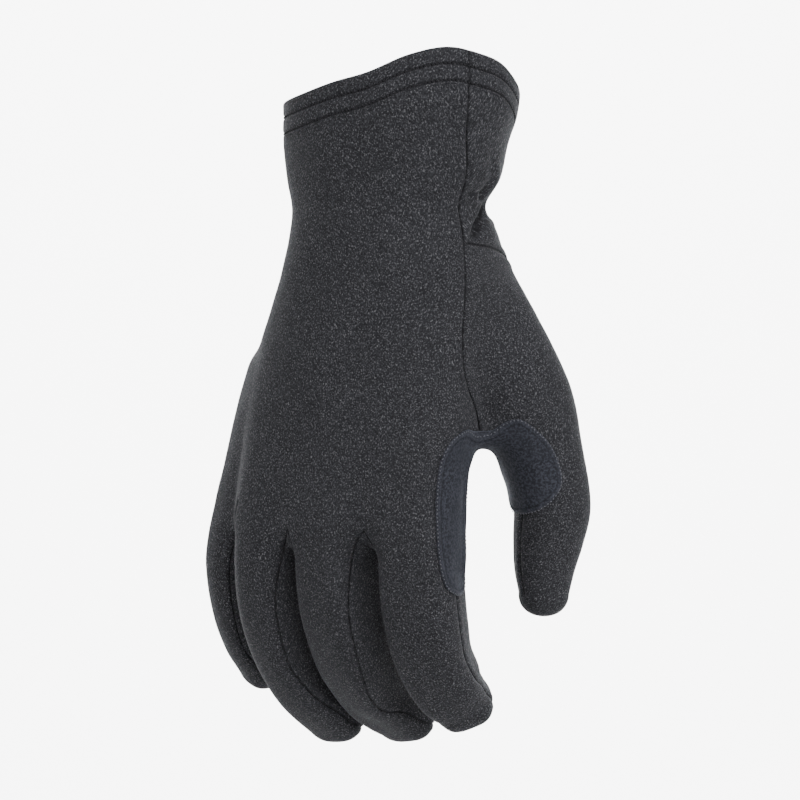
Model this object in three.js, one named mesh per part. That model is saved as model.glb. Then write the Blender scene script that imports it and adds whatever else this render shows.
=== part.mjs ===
// A fleece tactical glove for the right hand, as it is when worn: hollow, fingers down and loosely curled.
// Millimetres. +Z runs up the forearm, -Y faces the back of the hand, and +X is the thumb side.
// The origin is the middle of the wrist opening.
//
// The outer surface is the skin of a soft union of a hand body, four fingers and a thumb, each given by a short
// table of sections. Every sewn panel is a sheet of rays cast from inside the hand to that skin, and to the same
// skin one wall thickness further in. Panels that share a seam share its rays, so they meet along the seam.
import * as THREE from "three";

// Driving sizes
const FLEECE_WALL = 1.8;
const HEM_WALL = 3.2;
const HEM_DEPTH = 13;
const PATCH_THICKNESS = 0.9;
const PATCH_GAP = 0.5;
const SEAM_HALF_GAP = 0.25;
const DEGREE = Math.PI / 180;

// Softness of each union: between fingers, fingers with the hand, the thumb with the hand, and the web ends.
const FINGER_BLEND = 0.6;
const KNUCKLE_BLEND = 7;
const THUMB_BLEND = 12;
const WEB_BLEND = 8;

// Sections of the hand body from the cuff down. The arches bend a section's ulnar and radial sides towards the palm.
const HAND_COLUMNS = ["z", "cx", "cy", "halfWidth", "halfDepth", "ulnarArch", "radialArch", "squareness"];
const HAND_SECTIONS = [
  [16, 0.0, 0, 41.5, 30.0, 0, 0, 2.2],
  [0, 0.3, 0, 41.5, 30.0, 0, 0, 2.2],
  [-12, 0.2, 0, 41.3, 29.5, 0, 0, 2.2],
  [-25, -1.8, 0, 39.6, 27.5, 0, 0, 2.2],
  [-36, -2.6, 0, 38.2, 25.5, 1, 0, 2.2],
  [-46, -4.0, 0, 35.8, 24.0, 2, 0, 2.2],
  [-56, -5.2, 0, 36.2, 23.5, 3, 0, 2.3],
  [-66, -6.8, 0, 37.6, 23.0, 4, 0, 2.4],
  [-77, -9.6, 0, 39.6, 22.0, 6, 1, 2.5],
  [-97, -15.2, -0.5, 42.8, 20.5, 10, 1.5, 2.6],
  [-117, -20.0, -1, 45.2, 18.4, 13, 2, 2.8],
  [-138, -23.3, -1.5, 46.3, 16.2, 16, 3, 2.9],
  [-155, -26.2, -1.5, 47.2, 14.4, 17, 3, 2.9],
  [-175, -28.5, -1, 48.5, 13.0, 18, 3, 2.9],
];

// Sections of the digits from inside the hand to the centre of the tip. Roll turns the nail side towards the thumb.
const DIGIT_COLUMNS = ["x", "y", "z", "halfWidth", "halfDepth"];
const DIGITS = {
  index: {
    roll: 6,
    squareness: 3.2,
    sections: [
      [3, 0, -112, 12.5, 13.0],
      [7.2, -1, -135, 12.2, 13.4],
      [8.1, -1.5, -158, 12.3, 13.5],
      [8.1, 1.5, -175, 13.0, 12.8],
      [8.0, 6, -188, 12.6, 12.0],
      [8.0, 12.5, -199, 12.0, 11.2],
      [8.2, 20.5, -208, 11.1, 10.4],
      [8.2, 27.5, -213.5, 9.5, 8.8],
    ],
  },
  middle: {
    roll: -14,
    squareness: 3.2,
    sections: [
      [-19, 1, -112, 11, 13.0],
      [-22.0, -1.5, -137, 11.5, 13.8],
      [-23.0, -2, -160, 11.6, 13.8],
      [-24.2, 1, -177, 11.5, 13.4],
      [-25.0, 7, -190, 11.3, 12.4],
      [-25.6, 16, -202, 11.0, 11.4],
      [-24.6, 28.5, -212.5, 10.8, 10.4],
      [-19, 42, -221, 9.6, 8.8],
    ],
  },
  ring: {
    roll: -16,
    squareness: 2.8,
    sections: [
      [-38, 2, -112, 10.5, 12],
      [-46, 1, -138, 10.8, 13],
      [-49.9, 0.8, -162, 10.6, 12.6],
      [-51.6, 4.2, -177, 10.5, 12.0],
      [-52.2, 10, -190, 10.4, 11.4],
      [-52.0, 18.5, -202, 10.2, 10.8],
      [-50.0, 28, -213, 10.2, 10],
      [-47, 38, -222, 9.4, 8.8],
    ],
  },
  little: {
    roll: -32,
    squareness: 2.5,
    sections: [
      [-52, 9, -104, 9, 10.5],
      [-60.2, 10, -128, 9.4, 11.2],
      [-68.0, 11.8, -150, 9.6, 11.0],
      [-72.6, 15.3, -166, 9.5, 10.6],
      [-74.4, 21.5, -181, 9.4, 10.0],
      [-75.0, 29.5, -194, 9.2, 9.6],
      [-74.0, 37.5, -204.5, 8.8, 8.4],
    ],
  },
  thumb: {
    roll: 60,
    squareness: 2.2,
    sections: [
      [12, 6, -52, 10, 10],
      [17, 12, -64, 14, 13],
      [22, 18, -80, 16, 15],
      [28.5, 24, -97, 16.2, 15.5],
      [34.0, 29, -112, 15.8, 15.3],
      [37.4, 33, -127.5, 13.8, 14.0],
      [39.2, 35.5, -138, 13.2, 13.2],
      [39.5, 38, -148, 13.3, 12.3],
      [37.2, 40, -158, 12.6, 11.0],
      [35.0, 41.5, -168, 10.8, 9.6],
      [34.4, 42, -177, 8.8, 8.2],
    ],
  },
};
const FINGERS = ["index", "middle", "ring", "little"];

// The webs end lower in the palm than on the back, and higher beside the little finger.
const WEB = { z: -162, palmSlope: 0.35, ulnarFrom: -42, ulnarRise: 0.013 };

// Dents where the wrist's elastic gathers the cloth: centre, reach across and along, and depth.
const DENT_COLUMNS = ["x", "y", "z", "reach", "height", "depth"];
const WRIST_DENTS = [
  [32, -8, -45, 10, 6, 2.0],
  [34, 4, -54, 9, 5, -1.4],
  [31, 12, -44, 12, 6, 1.8],
  [0, 25, -46, 30, 7, 1.4],
];

// Where the seams run: angles round the hand from the thumb side, positive over the back of the hand.
const SEAM_COLUMNS = ["z", "angle"];
const RADIAL_SEAM = [
  [16, 34],
  [-13, 34],
  [-40, 26],
  [-58, 22],
  [-80, 18],
  [-100, 16],
  [-125, 10],
  [-160, 6],
];
const ULNAR_SEAM_ANGLE = 197;
const THUMB_SEAM_PALM_ANGLE = -62;
const THUMB_SEAM_PALM_BULGE = 16;
const THUMB_TOP_Z = -58;
const THUMB_TOP_COLUMNS = ["share", "angle", "z"];
const THUMB_TOP_SEAM = [
  [0, 22, -58],
  [0.35, -9, -59.2],
  [0.6, -30, -61.5],
  [0.8, -48, -66],
  [1, -62, -75],
];

// The slits between fingers: angle and height of each end on the back, then on the palm.
const WEB_COLUMNS = ["backAngle", "backZ", "palmAngle", "palmZ"];
const FINGER_WEBS = [
  [61, -158, -62, -162],
  [102, -158, -102, -163],
  [139, -149, -127, -157],
];
const RADIAL_EDGE_Z = -158;
const ULNAR_EDGE_Z = -144;
// The ray down to each web starts above the middle of the two fingers' axes, shifted, and points along an aim.
const WEB_RAY_COLUMNS = ["shiftX", "shiftY", "shiftZ", "aimX", "aimY", "aimZ"];
const WEB_RAYS = [
  [0, 0, 12, 0, 0, -1.8],
  [-1, 2, 12, 0, 0, -1.8],
  [-3, 4, 12, 0, 0, -1.8],
];

// The crotch of the thumb: a point inside the hand above the saddle, from which rays point down to it.
const SADDLE_ORIGIN = new THREE.Vector3(22, 11, -106);
const SADDLE_DIRECTION = new THREE.Vector3(0.12, 0, -1);

// How the seams on the hand turn down to it: ray starts inside the hand, and points near the skin to aim at.
const TURN_COLUMNS = ["share", "x", "y", "z", "toX", "toY", "toZ"];
const BACK_SEAM_TO_SADDLE = [
  [0, 8, -3, -92, 27, -7, -93],
  [0.25, 12, -1, -97, 27, -5, -100],
  [0.5, 16, 3, -101, 27, -1, -107.5],
  [0.75, 19.5, 7.5, -104, 26, 5.5, -114],
  [1, 22, 11, -106, 23.44, 11, -118],
];
const PALM_SEAM_TO_SADDLE = [
  [0, -9, 2, -89, -5, 21, -91],
  [0.25, -4, 4, -95, 0, 19.5, -99],
  [0.5, 4, 6, -100, 8, 18, -108],
  [0.75, 13, 9, -104, 16, 15.5, -115],
  [1, 22, 11, -106, 23.44, 11, -118],
];
const SADDLE_Z = -118;
const SADDLE_PALM_ANGLE = -55;
const THUMB_INNER_DIRECTION = new THREE.Vector3(-0.42, -0.91, 0).normalize();

const vec = (x, y, z) => new THREE.Vector3(x, y, z);
const mix = (a, b, t) => a + (b - a) * t;
const clamp = (x, low, high) => Math.min(high, Math.max(low, x));
const smooth = (t) => {
  const c = clamp(t, 0, 1);
  return c * c * (3 - 2 * c);
};
const softMin = (a, b, k) => {
  const h = clamp(0.5 + (0.5 * (b - a)) / k, 0, 1);
  return mix(b, a, h) - k * h * (1 - h);
};
const softMax = (a, b, k) => -softMin(-a, -b, k);
const span = (count) => Array.from({ length: count + 1 }, (_, i) => i / count);

// A smooth curve through table rows, by their first column.
function tableCurve(rows) {
  const sorted = [...rows].sort((a, b) => a[0] - b[0]);
  const last = sorted.length - 1;
  const slope = sorted.map((_, i) => {
    const low = sorted[Math.max(0, i - 1)];
    const high = sorted[Math.min(last, i + 1)];
    return low.map((value, j) => (high[j] - value) / (high[0] - low[0]));
  });
  return (key) => {
    const x = clamp(key, sorted[0][0], sorted[last][0]);
    let i = 0;
    while (i < last - 1 && x > sorted[i + 1][0]) i += 1;
    const h = sorted[i + 1][0] - sorted[i][0];
    const t = (x - sorted[i][0]) / h;
    const start = 2 * t ** 3 - 3 * t ** 2 + 1;
    const leave = (t ** 3 - 2 * t ** 2 + t) * h;
    const end = 3 * t ** 2 - 2 * t ** 3;
    const arrive = (t ** 3 - t ** 2) * h;
    return sorted[i].map((value, j) =>
      start * value + leave * slope[i][j] + end * sorted[i + 1][j] + arrive * slope[i + 1][j]);
  };
}

const handCurve = tableCurve(HAND_SECTIONS);
const handAt = (z) => Object.fromEntries(handCurve(z).map((value, j) => [HAND_COLUMNS[j], value]));
const archAt = (section, x) => (x < 0 ? section.ulnarArch : section.radialArch) * (x / section.halfWidth) ** 2;
const radialSeamCurve = tableCurve(RADIAL_SEAM);
const radialSeamAngle = (z) => radialSeamCurve(z)[SEAM_COLUMNS.indexOf("angle")];

// The digit's axis as closely spaced stations, each with its width, depth and directions across, to the nail and along.
function digitStations({ roll, sections }) {
  const steps = 6;
  const points = sections.map(([x, y, z]) => vec(x, y, z));
  const curve = new THREE.CatmullRomCurve3(points, false, "catmullrom", 0.5);
  const nail = vec(Math.sin(roll * DEGREE), -Math.cos(roll * DEGREE), 0);
  const widths = tableCurve(sections.map((row, i) => [i, row[3], row[4]]));
  const count = (sections.length - 1) * steps;
  return span(count).map((t) => {
    const along = curve.getTangent(clamp(t, 0.001, 0.999));
    const across = vec().crossVectors(nail, along).normalize();
    if (across.x < 0) across.negate();
    const back = vec().crossVectors(along, across).normalize();
    if (back.dot(nail) < 0) back.negate();
    const [, halfWidth, halfDepth] = widths(t * (sections.length - 1));
    return { centre: curve.getPoint(t), along, across, back, halfWidth, halfDepth };
  });
}
const digits = Object.fromEntries(Object.entries(DIGITS).map(([name, digit]) => [name, digitStations(digit)]));

// The station at a fractional place along the axis.
function stationAt(stations, place) {
  const i = clamp(Math.floor(place), 0, stations.length - 2);
  const t = clamp(place - i, 0, 1);
  const [a, b] = [stations[i], stations[i + 1]];
  return {
    centre: a.centre.clone().lerp(b.centre, t),
    along: a.along.clone().lerp(b.along, t).normalize(),
    across: a.across.clone().lerp(b.across, t).normalize(),
    back: a.back.clone().lerp(b.back, t).normalize(),
    halfWidth: mix(a.halfWidth, b.halfWidth, t),
    halfDepth: mix(a.halfDepth, b.halfDepth, t),
  };
}

// Distance, roughly, from a squarish ellipse: the radial measure divided by its own slope.
function sectionDistance(ratios, sizes, power) {
  const g = Math.pow(ratios.reduce((sum, r) => sum + r ** power, 0), 1 / power) + 1e-9;
  const slope = Math.hypot(...ratios.map((r, i) => (r / g) ** (power - 1) / sizes[i]));
  return (g - 1) / Math.max(slope, 1e-6);
}

// The place on an axis whose section holds a point.
function placeNear(p, stations) {
  let place = 0;
  let nearest = Infinity;
  stations.forEach((s, i) => {
    const d = s.centre.distanceToSquared(p);
    if (d < nearest) [nearest, place] = [d, i];
  });
  for (let round = 0; round < 2; round += 1) {
    const s = stationAt(stations, place);
    const step = stations[1].centre.distanceTo(stations[0].centre);
    place = clamp(place + p.clone().sub(s.centre).dot(s.along) / step, 0, stations.length - 1);
  }
  return place;
}

function digitField(p, name) {
  const stations = digits[name];
  const s = stationAt(stations, placeNear(p, stations));
  const q = p.clone().sub(s.centre);
  const ratios = [
    Math.abs(q.dot(s.across)) / s.halfWidth,
    Math.abs(q.dot(s.back)) / s.halfDepth,
    Math.abs(q.dot(s.along)) / s.halfDepth,
  ];
  return sectionDistance(ratios, [s.halfWidth, s.halfDepth, s.halfDepth], DIGITS[name].squareness);
}

function bodyField(p) {
  const s = handAt(p.z);
  const x = p.x - s.cx;
  const y = p.y - s.cy - archAt(s, x);
  const sizes = [s.halfWidth, s.halfDepth];
  const sides = sectionDistance([Math.abs(x) / s.halfWidth, Math.abs(y) / s.halfDepth], sizes, s.squareness);
  const webZ = WEB.z - WEB.palmSlope * p.y + WEB.ulnarRise * Math.max(0, WEB.ulnarFrom - p.x) ** 2;
  return softMax(sides, webZ - p.z, WEB_BLEND);
}

function dentDepth(p) {
  return WRIST_DENTS.reduce((sum, [x, y, z, reach, height, depth]) => {
    const across = ((p.x - x) ** 2 + (p.y - y) ** 2) / reach ** 2;
    return sum + depth * Math.exp(-across - ((p.z - z) / height) ** 2);
  }, 0);
}

// Negative inside the glove's outer skin, in millimetres or nearly so.
function gloveField(p) {
  const fingers = FINGERS.map((name) => digitField(p, name))
    .reduce((a, b) => softMin(a, b, FINGER_BLEND));
  const hand = softMin(bodyField(p), fingers, KNUCKLE_BLEND);
  return softMin(hand, digitField(p, "thumb"), THUMB_BLEND) + dentDepth(p);
}

// The first place on a ray where the field reaches a level.
function castRay(ray, level) {
  const at = (t) => ray.origin.clone().addScaledVector(ray.direction, t);
  const stride = 1.5;
  let far = stride;
  while (gloveField(at(far)) < level && far < 75) far += stride;
  let near = far - stride;
  for (let i = 0; i < 12; i += 1) {
    const middle = (near + far) / 2;
    if (gloveField(at(middle)) < level) near = middle;
    else far = middle;
  }
  return at((near + far) / 2);
}

const rayOf = (origin, aim) => ({ origin, aim, direction: aim.clone().normalize() });
const mixRays = (a, b, t) => rayOf(a.origin.clone().lerp(b.origin, t), a.aim.clone().lerp(b.aim, t));

// Near the webs the rays start higher and slant down, so that they start inside the hand.
const WEB_RAY_LIFT = 14;
const WEB_RAY_FROM = -125;
const WEB_RAY_SPAN = 28;
const WEB_RAY_REACH = { middle: 17, radial: 4, ulnar: 10 };

// A ray from the hand's middle sheet, turned by an angle round the hand.
function handRay(angle, z) {
  const s = handAt(z);
  const x = 0.85 * (s.halfWidth - s.halfDepth) * Math.cos(angle * DEGREE);
  const lift = WEB_RAY_LIFT * smooth((WEB_RAY_FROM - z) / WEB_RAY_SPAN);
  const origin = vec(s.cx + x, s.cy + archAt(s, x), z + lift);
  const further = x < 0 ? WEB_RAY_REACH.ulnar : WEB_RAY_REACH.radial;
  const reach = WEB_RAY_REACH.middle + further * Math.cos(angle * DEGREE) ** 2;
  return rayOf(origin, vec(Math.cos(angle * DEGREE), -Math.sin(angle * DEGREE), -lift / reach));
}

// A ray from a digit's axis: angle 0 is the nail side and 90 the thumb side. Tilt turns it towards the tip.
function digitRay(name, place, angle, tilt = 0) {
  const s = stationAt(digits[name], place);
  const side = s.across.clone().multiplyScalar(s.halfWidth * Math.sin(angle * DEGREE))
    .addScaledVector(s.back, s.halfDepth * Math.cos(angle * DEGREE)).normalize();
  side.multiplyScalar(Math.cos(tilt * DEGREE)).addScaledVector(s.along, Math.sin(tilt * DEGREE));
  return rayOf(s.centre, side);
}

// How far the wrist's rim stands above the origin's height, round the hand.
const RIM_ROWS = [
  [-180, -8.5],
  [-120, -9.5],
  [-60, -10],
  [-25, -7],
  [-10, -3.2],
  [2, 0.2],
  [13, 3.1],
  [25, 5.2],
  [45, 7],
  [65, 5],
  [87, -0.6],
  [105, -3.7],
  [130, -7.2],
  [150, -8.5],
  [180, -8.5],
];
const rimCurve = tableCurve(RIM_ROWS);
const rimHeight = (angle) => rimCurve(((((angle + 180) % 360) + 360) % 360) - 180)[1];

// A sheet's vertices and faces, grown grid by grid. Rays at the same key are one vertex.
class Sheet {
  constructor() {
    this.rays = [];
    this.index = new Map();
    this.faces = [];
  }

  vertex(ray) {
    const key = [...ray.origin.toArray(), ...ray.direction.toArray()].map((x) => x.toFixed(5)).join();
    if (!this.index.has(key)) {
      this.index.set(key, this.rays.length);
      this.rays.push(ray);
    }
    return this.index.get(key);
  }

  addGrid(rows) {
    const ids = rows.map((row) => row.map((ray) => this.vertex(ray)));
    for (let j = 0; j + 1 < ids.length; j += 1) {
      for (let i = 0; i + 1 < ids[j].length; i += 1) {
        const quad = [ids[j][i], ids[j][i + 1], ids[j + 1][i + 1], ids[j + 1][i]];
        const loop = quad.filter((id, k) => id !== quad[(k + 1) % 4]);
        if (loop.length >= 3 && new Set(loop).size === loop.length) this.faces.push(loop);
      }
    }
    return this;
  }
}

// Closes a sheet between two levels of the field, drawn back a little from its edges.
function sheetGeometry(sheet, outerLevel, innerLevel) {
  const outer = sheet.rays.map((ray) => castRay(ray, outerLevel));
  const inner = sheet.rays.map((ray) => castRay(ray, innerLevel));
  const halfEdges = new Map();
  sheet.faces.forEach((face) => face.forEach((a, k) => {
    const b = face[(k + 1) % face.length];
    halfEdges.set(`${a},${b}`, [a, b]);
  }));
  const rim = [...halfEdges.values()].filter(([a, b]) => !halfEdges.has(`${b},${a}`));
  const rimSet = new Set(rim.flat());
  const drawBack = (points) => {
    const pull = new Map([...rimSet].map((id) => [id, vec(0, 0, 0)]));
    sheet.faces.forEach((face) => {
      const middle = face.reduce((sum, id) => sum.add(points[id]), vec(0, 0, 0)).divideScalar(face.length);
      const onRim = face.filter((id) => rimSet.has(id));
      onRim.forEach((id) => pull.get(id).add(middle.clone().sub(points[id]).normalize()));
    });
    return points.map((p, id) => {
      if (!rimSet.has(id)) return p;
      const neighbours = rim.filter((edge) => edge.includes(id)).map(([a, b]) => points[a === id ? b : a]);
      const along = vec(0, 0, 0);
      if (neighbours.length === 2) along.copy(neighbours[1]).sub(neighbours[0]).normalize();
      const inward = pull.get(id);
      inward.addScaledVector(along, -inward.dot(along));
      return p.clone().addScaledVector(inward.normalize(), SEAM_HALF_GAP);
    });
  };
  const points = [...drawBack(outer), ...drawBack(inner)];
  const n = outer.length;
  const triangles = [];
  const fan = (loop) => {
    for (let k = 1; k + 1 < loop.length; k += 1) triangles.push(loop[0], loop[k], loop[k + 1]);
  };
  sheet.faces.forEach((face) => {
    fan(face);
    fan([...face].reverse().map((id) => id + n));
  });
  // Both sides of a seam cut the quads of their edges along the same diagonal.
  const rank = (id) => outer[id].dot(vec(1, 1.3, 1.7));
  rim.forEach(([a, b]) => fan(rank(a) < rank(b) ? [a, a + n, b + n, b] : [b, a, a + n, b + n]));
  const geometry = new THREE.BufferGeometry();
  geometry.setAttribute("position", new THREE.Float32BufferAttribute(points.flatMap((p) => p.toArray()), 3));
  geometry.setIndex(triangles);
  if (signedVolume(points, triangles) < 0) {
    for (let i = 0; i < triangles.length; i += 3) [triangles[i], triangles[i + 1]] = [triangles[i + 1], triangles[i]];
    geometry.setIndex(triangles);
  }
  geometry.computeVertexNormals();
  return geometry;
}

function signedVolume(points, triangles) {
  let volume = 0;
  for (let i = 0; i < triangles.length; i += 3) {
    const [a, b, c] = [points[triangles[i]], points[triangles[i + 1]], points[triangles[i + 2]]];
    volume += a.dot(vec().crossVectors(b, c)) / 6;
  }
  return volume;
}

// Stations along a finger: from its slit to the tube's end, then over the tip.
const TUBE_STEPS = [0, 0.125, 0.2, 0.27, 0.36, 0.46, 0.56, 0.67, 0.78, 0.89, 1];
const TIP_TILTS = [25, 50, 70, 90];
const SHARE_FROM_HAND = 0.3;
const GUSSET_END_TILT = 50;
const FINGER_STATIONS = [
  ...TUBE_STEPS.map((share) => ({ share, tilt: 0 })),
  ...TIP_TILTS.map((tilt) => ({ share: 1, tilt })),
];

// Where a finger's axis passes a height.
function placeAtHeight(name, z) {
  const stations = digits[name];
  const i = stations.findIndex((s) => s.centre.z < z);
  const [a, b] = [stations[i - 1], stations[i]];
  return i - 1 + (a.centre.z - z) / (a.centre.z - b.centre.z);
}
function fingerPlace(name, startRay, share) {
  const stations = digits[name];
  return mix(placeNear(castRay(startRay, 0), stations), stations.length - 1, share);
}

// The gussets' corner seams, closing to a point beside the tip.
const BACK_CORNER = 52;
const PALM_CORNER = 128;
const narrowing = ({ share, tilt }) => smooth((share - 0.72) / 0.28) * 0.35 + smooth(tilt / GUSSET_END_TILT) * 0.65;
const FINGER_SEAMS = {
  index: { radial: 76, ulnarGusset: true },
  middle: { radialGusset: true, ulnarGusset: true },
  ring: { radialGusset: true, ulnarGusset: true },
  little: { radialGusset: true, ulnar: 82 },
};
// Angles of a finger's back panel at its thumb side and its far side, as turns from the nail side.
function seamAngle(name, side, face, station) {
  const seam = FINGER_SEAMS[name];
  const sign = side === "radial" ? 1 : -1;
  if (seam[side] !== undefined) return sign * mix(seam[side], 90, narrowing(station));
  const corner = face === "back" ? BACK_CORNER : PALM_CORNER;
  return sign * mix(corner, 90, narrowing(station));
}

const COLUMNS_PER_FINGER = 4;
// The little finger's palm side is turned away from the hand's, so its columns are spaced unevenly.
const LITTLE_PALM_SKEW = { onHand: 2.1, onFinger: 0.75 };

// A finger strip of the back or palm panel: rays pass from the hand's fan to the finger's own.
function stripRays(k, face, columns) {
  const name = FINGERS[k];
  const landings = webAnglesAndHeights(face).slice(k * columns, (k + 1) * columns + 1);
  const start = landings.map(([angle, z]) => handRay(angle, z));
  return FINGER_STATIONS.map((station) => {
    const fromHand = 1 - smooth(station.share / SHARE_FROM_HAND);
    let [radial, ulnar] = ["radial", "ulnar"].map((side) => seamAngle(name, side, face, station));
    if (face === "palm") ulnar += 360;
    const skew = face === "palm" && name === "little" ? LITTLE_PALM_SKEW.onFinger : 1;
    return span(columns).map((s, i) => {
      if (station.share === 0) return start[i];
      const place = fingerPlace(name, start[i], station.share);
      const ray = digitRay(name, place, mix(radial, ulnar, s ** skew), station.tilt);
      return mixRays(ray, start[i], fromHand);
    });
  });
}

// The angles and heights of a panel's row where the slits between the fingers start.
function webAnglesAndHeights(face) {
  const ends = [
    [radialSeamAngle(RADIAL_EDGE_Z), RADIAL_EDGE_Z],
    ...FINGER_WEBS.map((row) => (face === "back" ? row.slice(0, 2) : row.slice(2))),
    [face === "back" ? ULNAR_SEAM_ANGLE : ULNAR_SEAM_ANGLE - 360, ULNAR_EDGE_Z],
  ];
  return span(COLUMNS_PER_FINGER * FINGERS.length).map((_, i) => {
    const k = Math.min(FINGERS.length - 1, Math.floor(i / COLUMNS_PER_FINGER));
    const skew = face === "palm" && k === FINGERS.length - 1 ? LITTLE_PALM_SKEW.onHand : 1;
    const s = (i / COLUMNS_PER_FINGER - k) ** skew;
    return [mix(ends[k][0], ends[k + 1][0], s), mix(ends[k][1], ends[k + 1][1], s)];
  });
}

// The seam rays down the thumb side, shared by the panels that meet there.
const THUMB_COLUMNS = 18;
const THUMB_CROTCH_SPREAD = 0.09;
const panelTop = (angle) => rimHeight(angle) - HEM_DEPTH - 2 * SEAM_HALF_GAP;
const onHand = (angle, z) => ({ angle, z, ray: handRay(angle, z) });
const UPPER_SEAM = span(4).map((t) => {
  const z = mix(panelTop(radialSeamAngle(0)), THUMB_TOP_Z, t);
  return onHand(radialSeamAngle(z), z);
});
const THUMB_UPPER_STEPS = [0, 0.14, 0.28, 0.42, 0.54, 0.65, 0.75, 0.84, 0.92, 1];
const THUMB_CROTCH_Z = -113;
const thumbPalmAngle = (t) => {
  const bulge = Math.sin((Math.PI / 2) * clamp(t / 0.55, 0, 1));
  return THUMB_SEAM_PALM_ANGLE - THUMB_SEAM_PALM_BULGE * bulge;
};
const thumbTopCurve = tableCurve(THUMB_TOP_SEAM);
const thumbShares = span(THUMB_COLUMNS).map((u) => u - 0.06 * Math.sin(2 * Math.PI * u));
const thumbTop = thumbShares.map((u) => onHand(thumbTopCurve(u)[1], thumbTopCurve(u)[2]));
const thumbPalmTopZ = THUMB_TOP_SEAM[THUMB_TOP_SEAM.length - 1][2];
const turnedSeam = (point, t, from, rows, endAngle) => {
  const s = (t - from) / (1 - from);
  if (s <= 0) return point;
  const [, x, y, z, toX, toY, toZ] = tableCurve(rows)(s);
  const turned = rayOf(vec(x, y, z), vec(toX - x, toY - y, toZ - z).divideScalar(12));
  return { z: toZ, angle: mix(point.angle, endAngle, s), bent: true, ray: mixRays(point.ray, turned, smooth(s / 0.3)) };
};
const thumbBackSeam = THUMB_UPPER_STEPS.map((t) => {
  const z = mix(THUMB_TOP_Z, THUMB_CROTCH_Z, t);
  return turnedSeam(onHand(radialSeamAngle(z), z), t, 0.5, BACK_SEAM_TO_SADDLE, radialSeamAngle(SADDLE_Z));
});
const thumbPalmSeam = THUMB_UPPER_STEPS.map((t) => {
  const point = onHand(thumbPalmAngle(t), mix(thumbPalmTopZ, THUMB_CROTCH_Z, t));
  return turnedSeam(point, t, 0.42, PALM_SEAM_TO_SADDLE, SADDLE_PALM_ANGLE);
});
const saddleRay = thumbBackSeam[thumbBackSeam.length - 1].ray;
const indexSeam = (face) => span(6).slice(1).map((t) => {
  const z = mix(SADDLE_Z, RADIAL_EDGE_Z, t);
  const angle = radialSeamAngle(z);
  const ray = mixRays(saddleRay, handRay(angle, z), smooth(t / 0.5));
  return { z, ray, bent: t < 0.5, angle: face === "back" ? angle : mix(SADDLE_PALM_ANGLE, angle, smooth(t / 0.7)) };
});

// A panel's rows between its thumb-side seam and the far side. Both panels meet the far seam at the same heights.
const FAR_STEPS = 17;
function panelRows(face, seam) {
  const ends = webAnglesAndHeights(face);
  const last = seam.length - 1;
  const [startAngle, startZ] = ends[0];
  const [farAngle, farZ] = ends[ends.length - 1];
  const reach = face === "back" ? 0.2 : 0.3;
  return seam.map((point, j) => {
    const lag = face === "back" ? 1 : 1.25;
    const down = Math.round((j / last) ** lag * FAR_STEPS) / FAR_STEPS;
    const farHeight = mix(panelTop(farAngle), farZ, down);
    return ends.map(([endAngle, endZ], i) => {
      if (i === 0) return point.ray;
      const s = (endAngle - startAngle) / (farAngle - startAngle);
      if (j === last) return handRay(endAngle, endZ);
      const angle = mix(point.angle, farAngle, s);
      const top = panelTop(angle) - mix(panelTop(point.angle), panelTop(farAngle), s);
      const bottom = endZ - mix(startZ, farZ, s);
      const z = mix(point.z, farHeight, s) + top * (1 - j / last) ** 6 + bottom * (j / last) ** 3;
      const exact = j === 0 ? panelTop(angle) : z;
      const direct = handRay(angle, s === 1 ? farHeight : exact);
      return point.bent ? mixRays(point.ray, direct, smooth(s / reach)) : direct;
    });
  });
}

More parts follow.
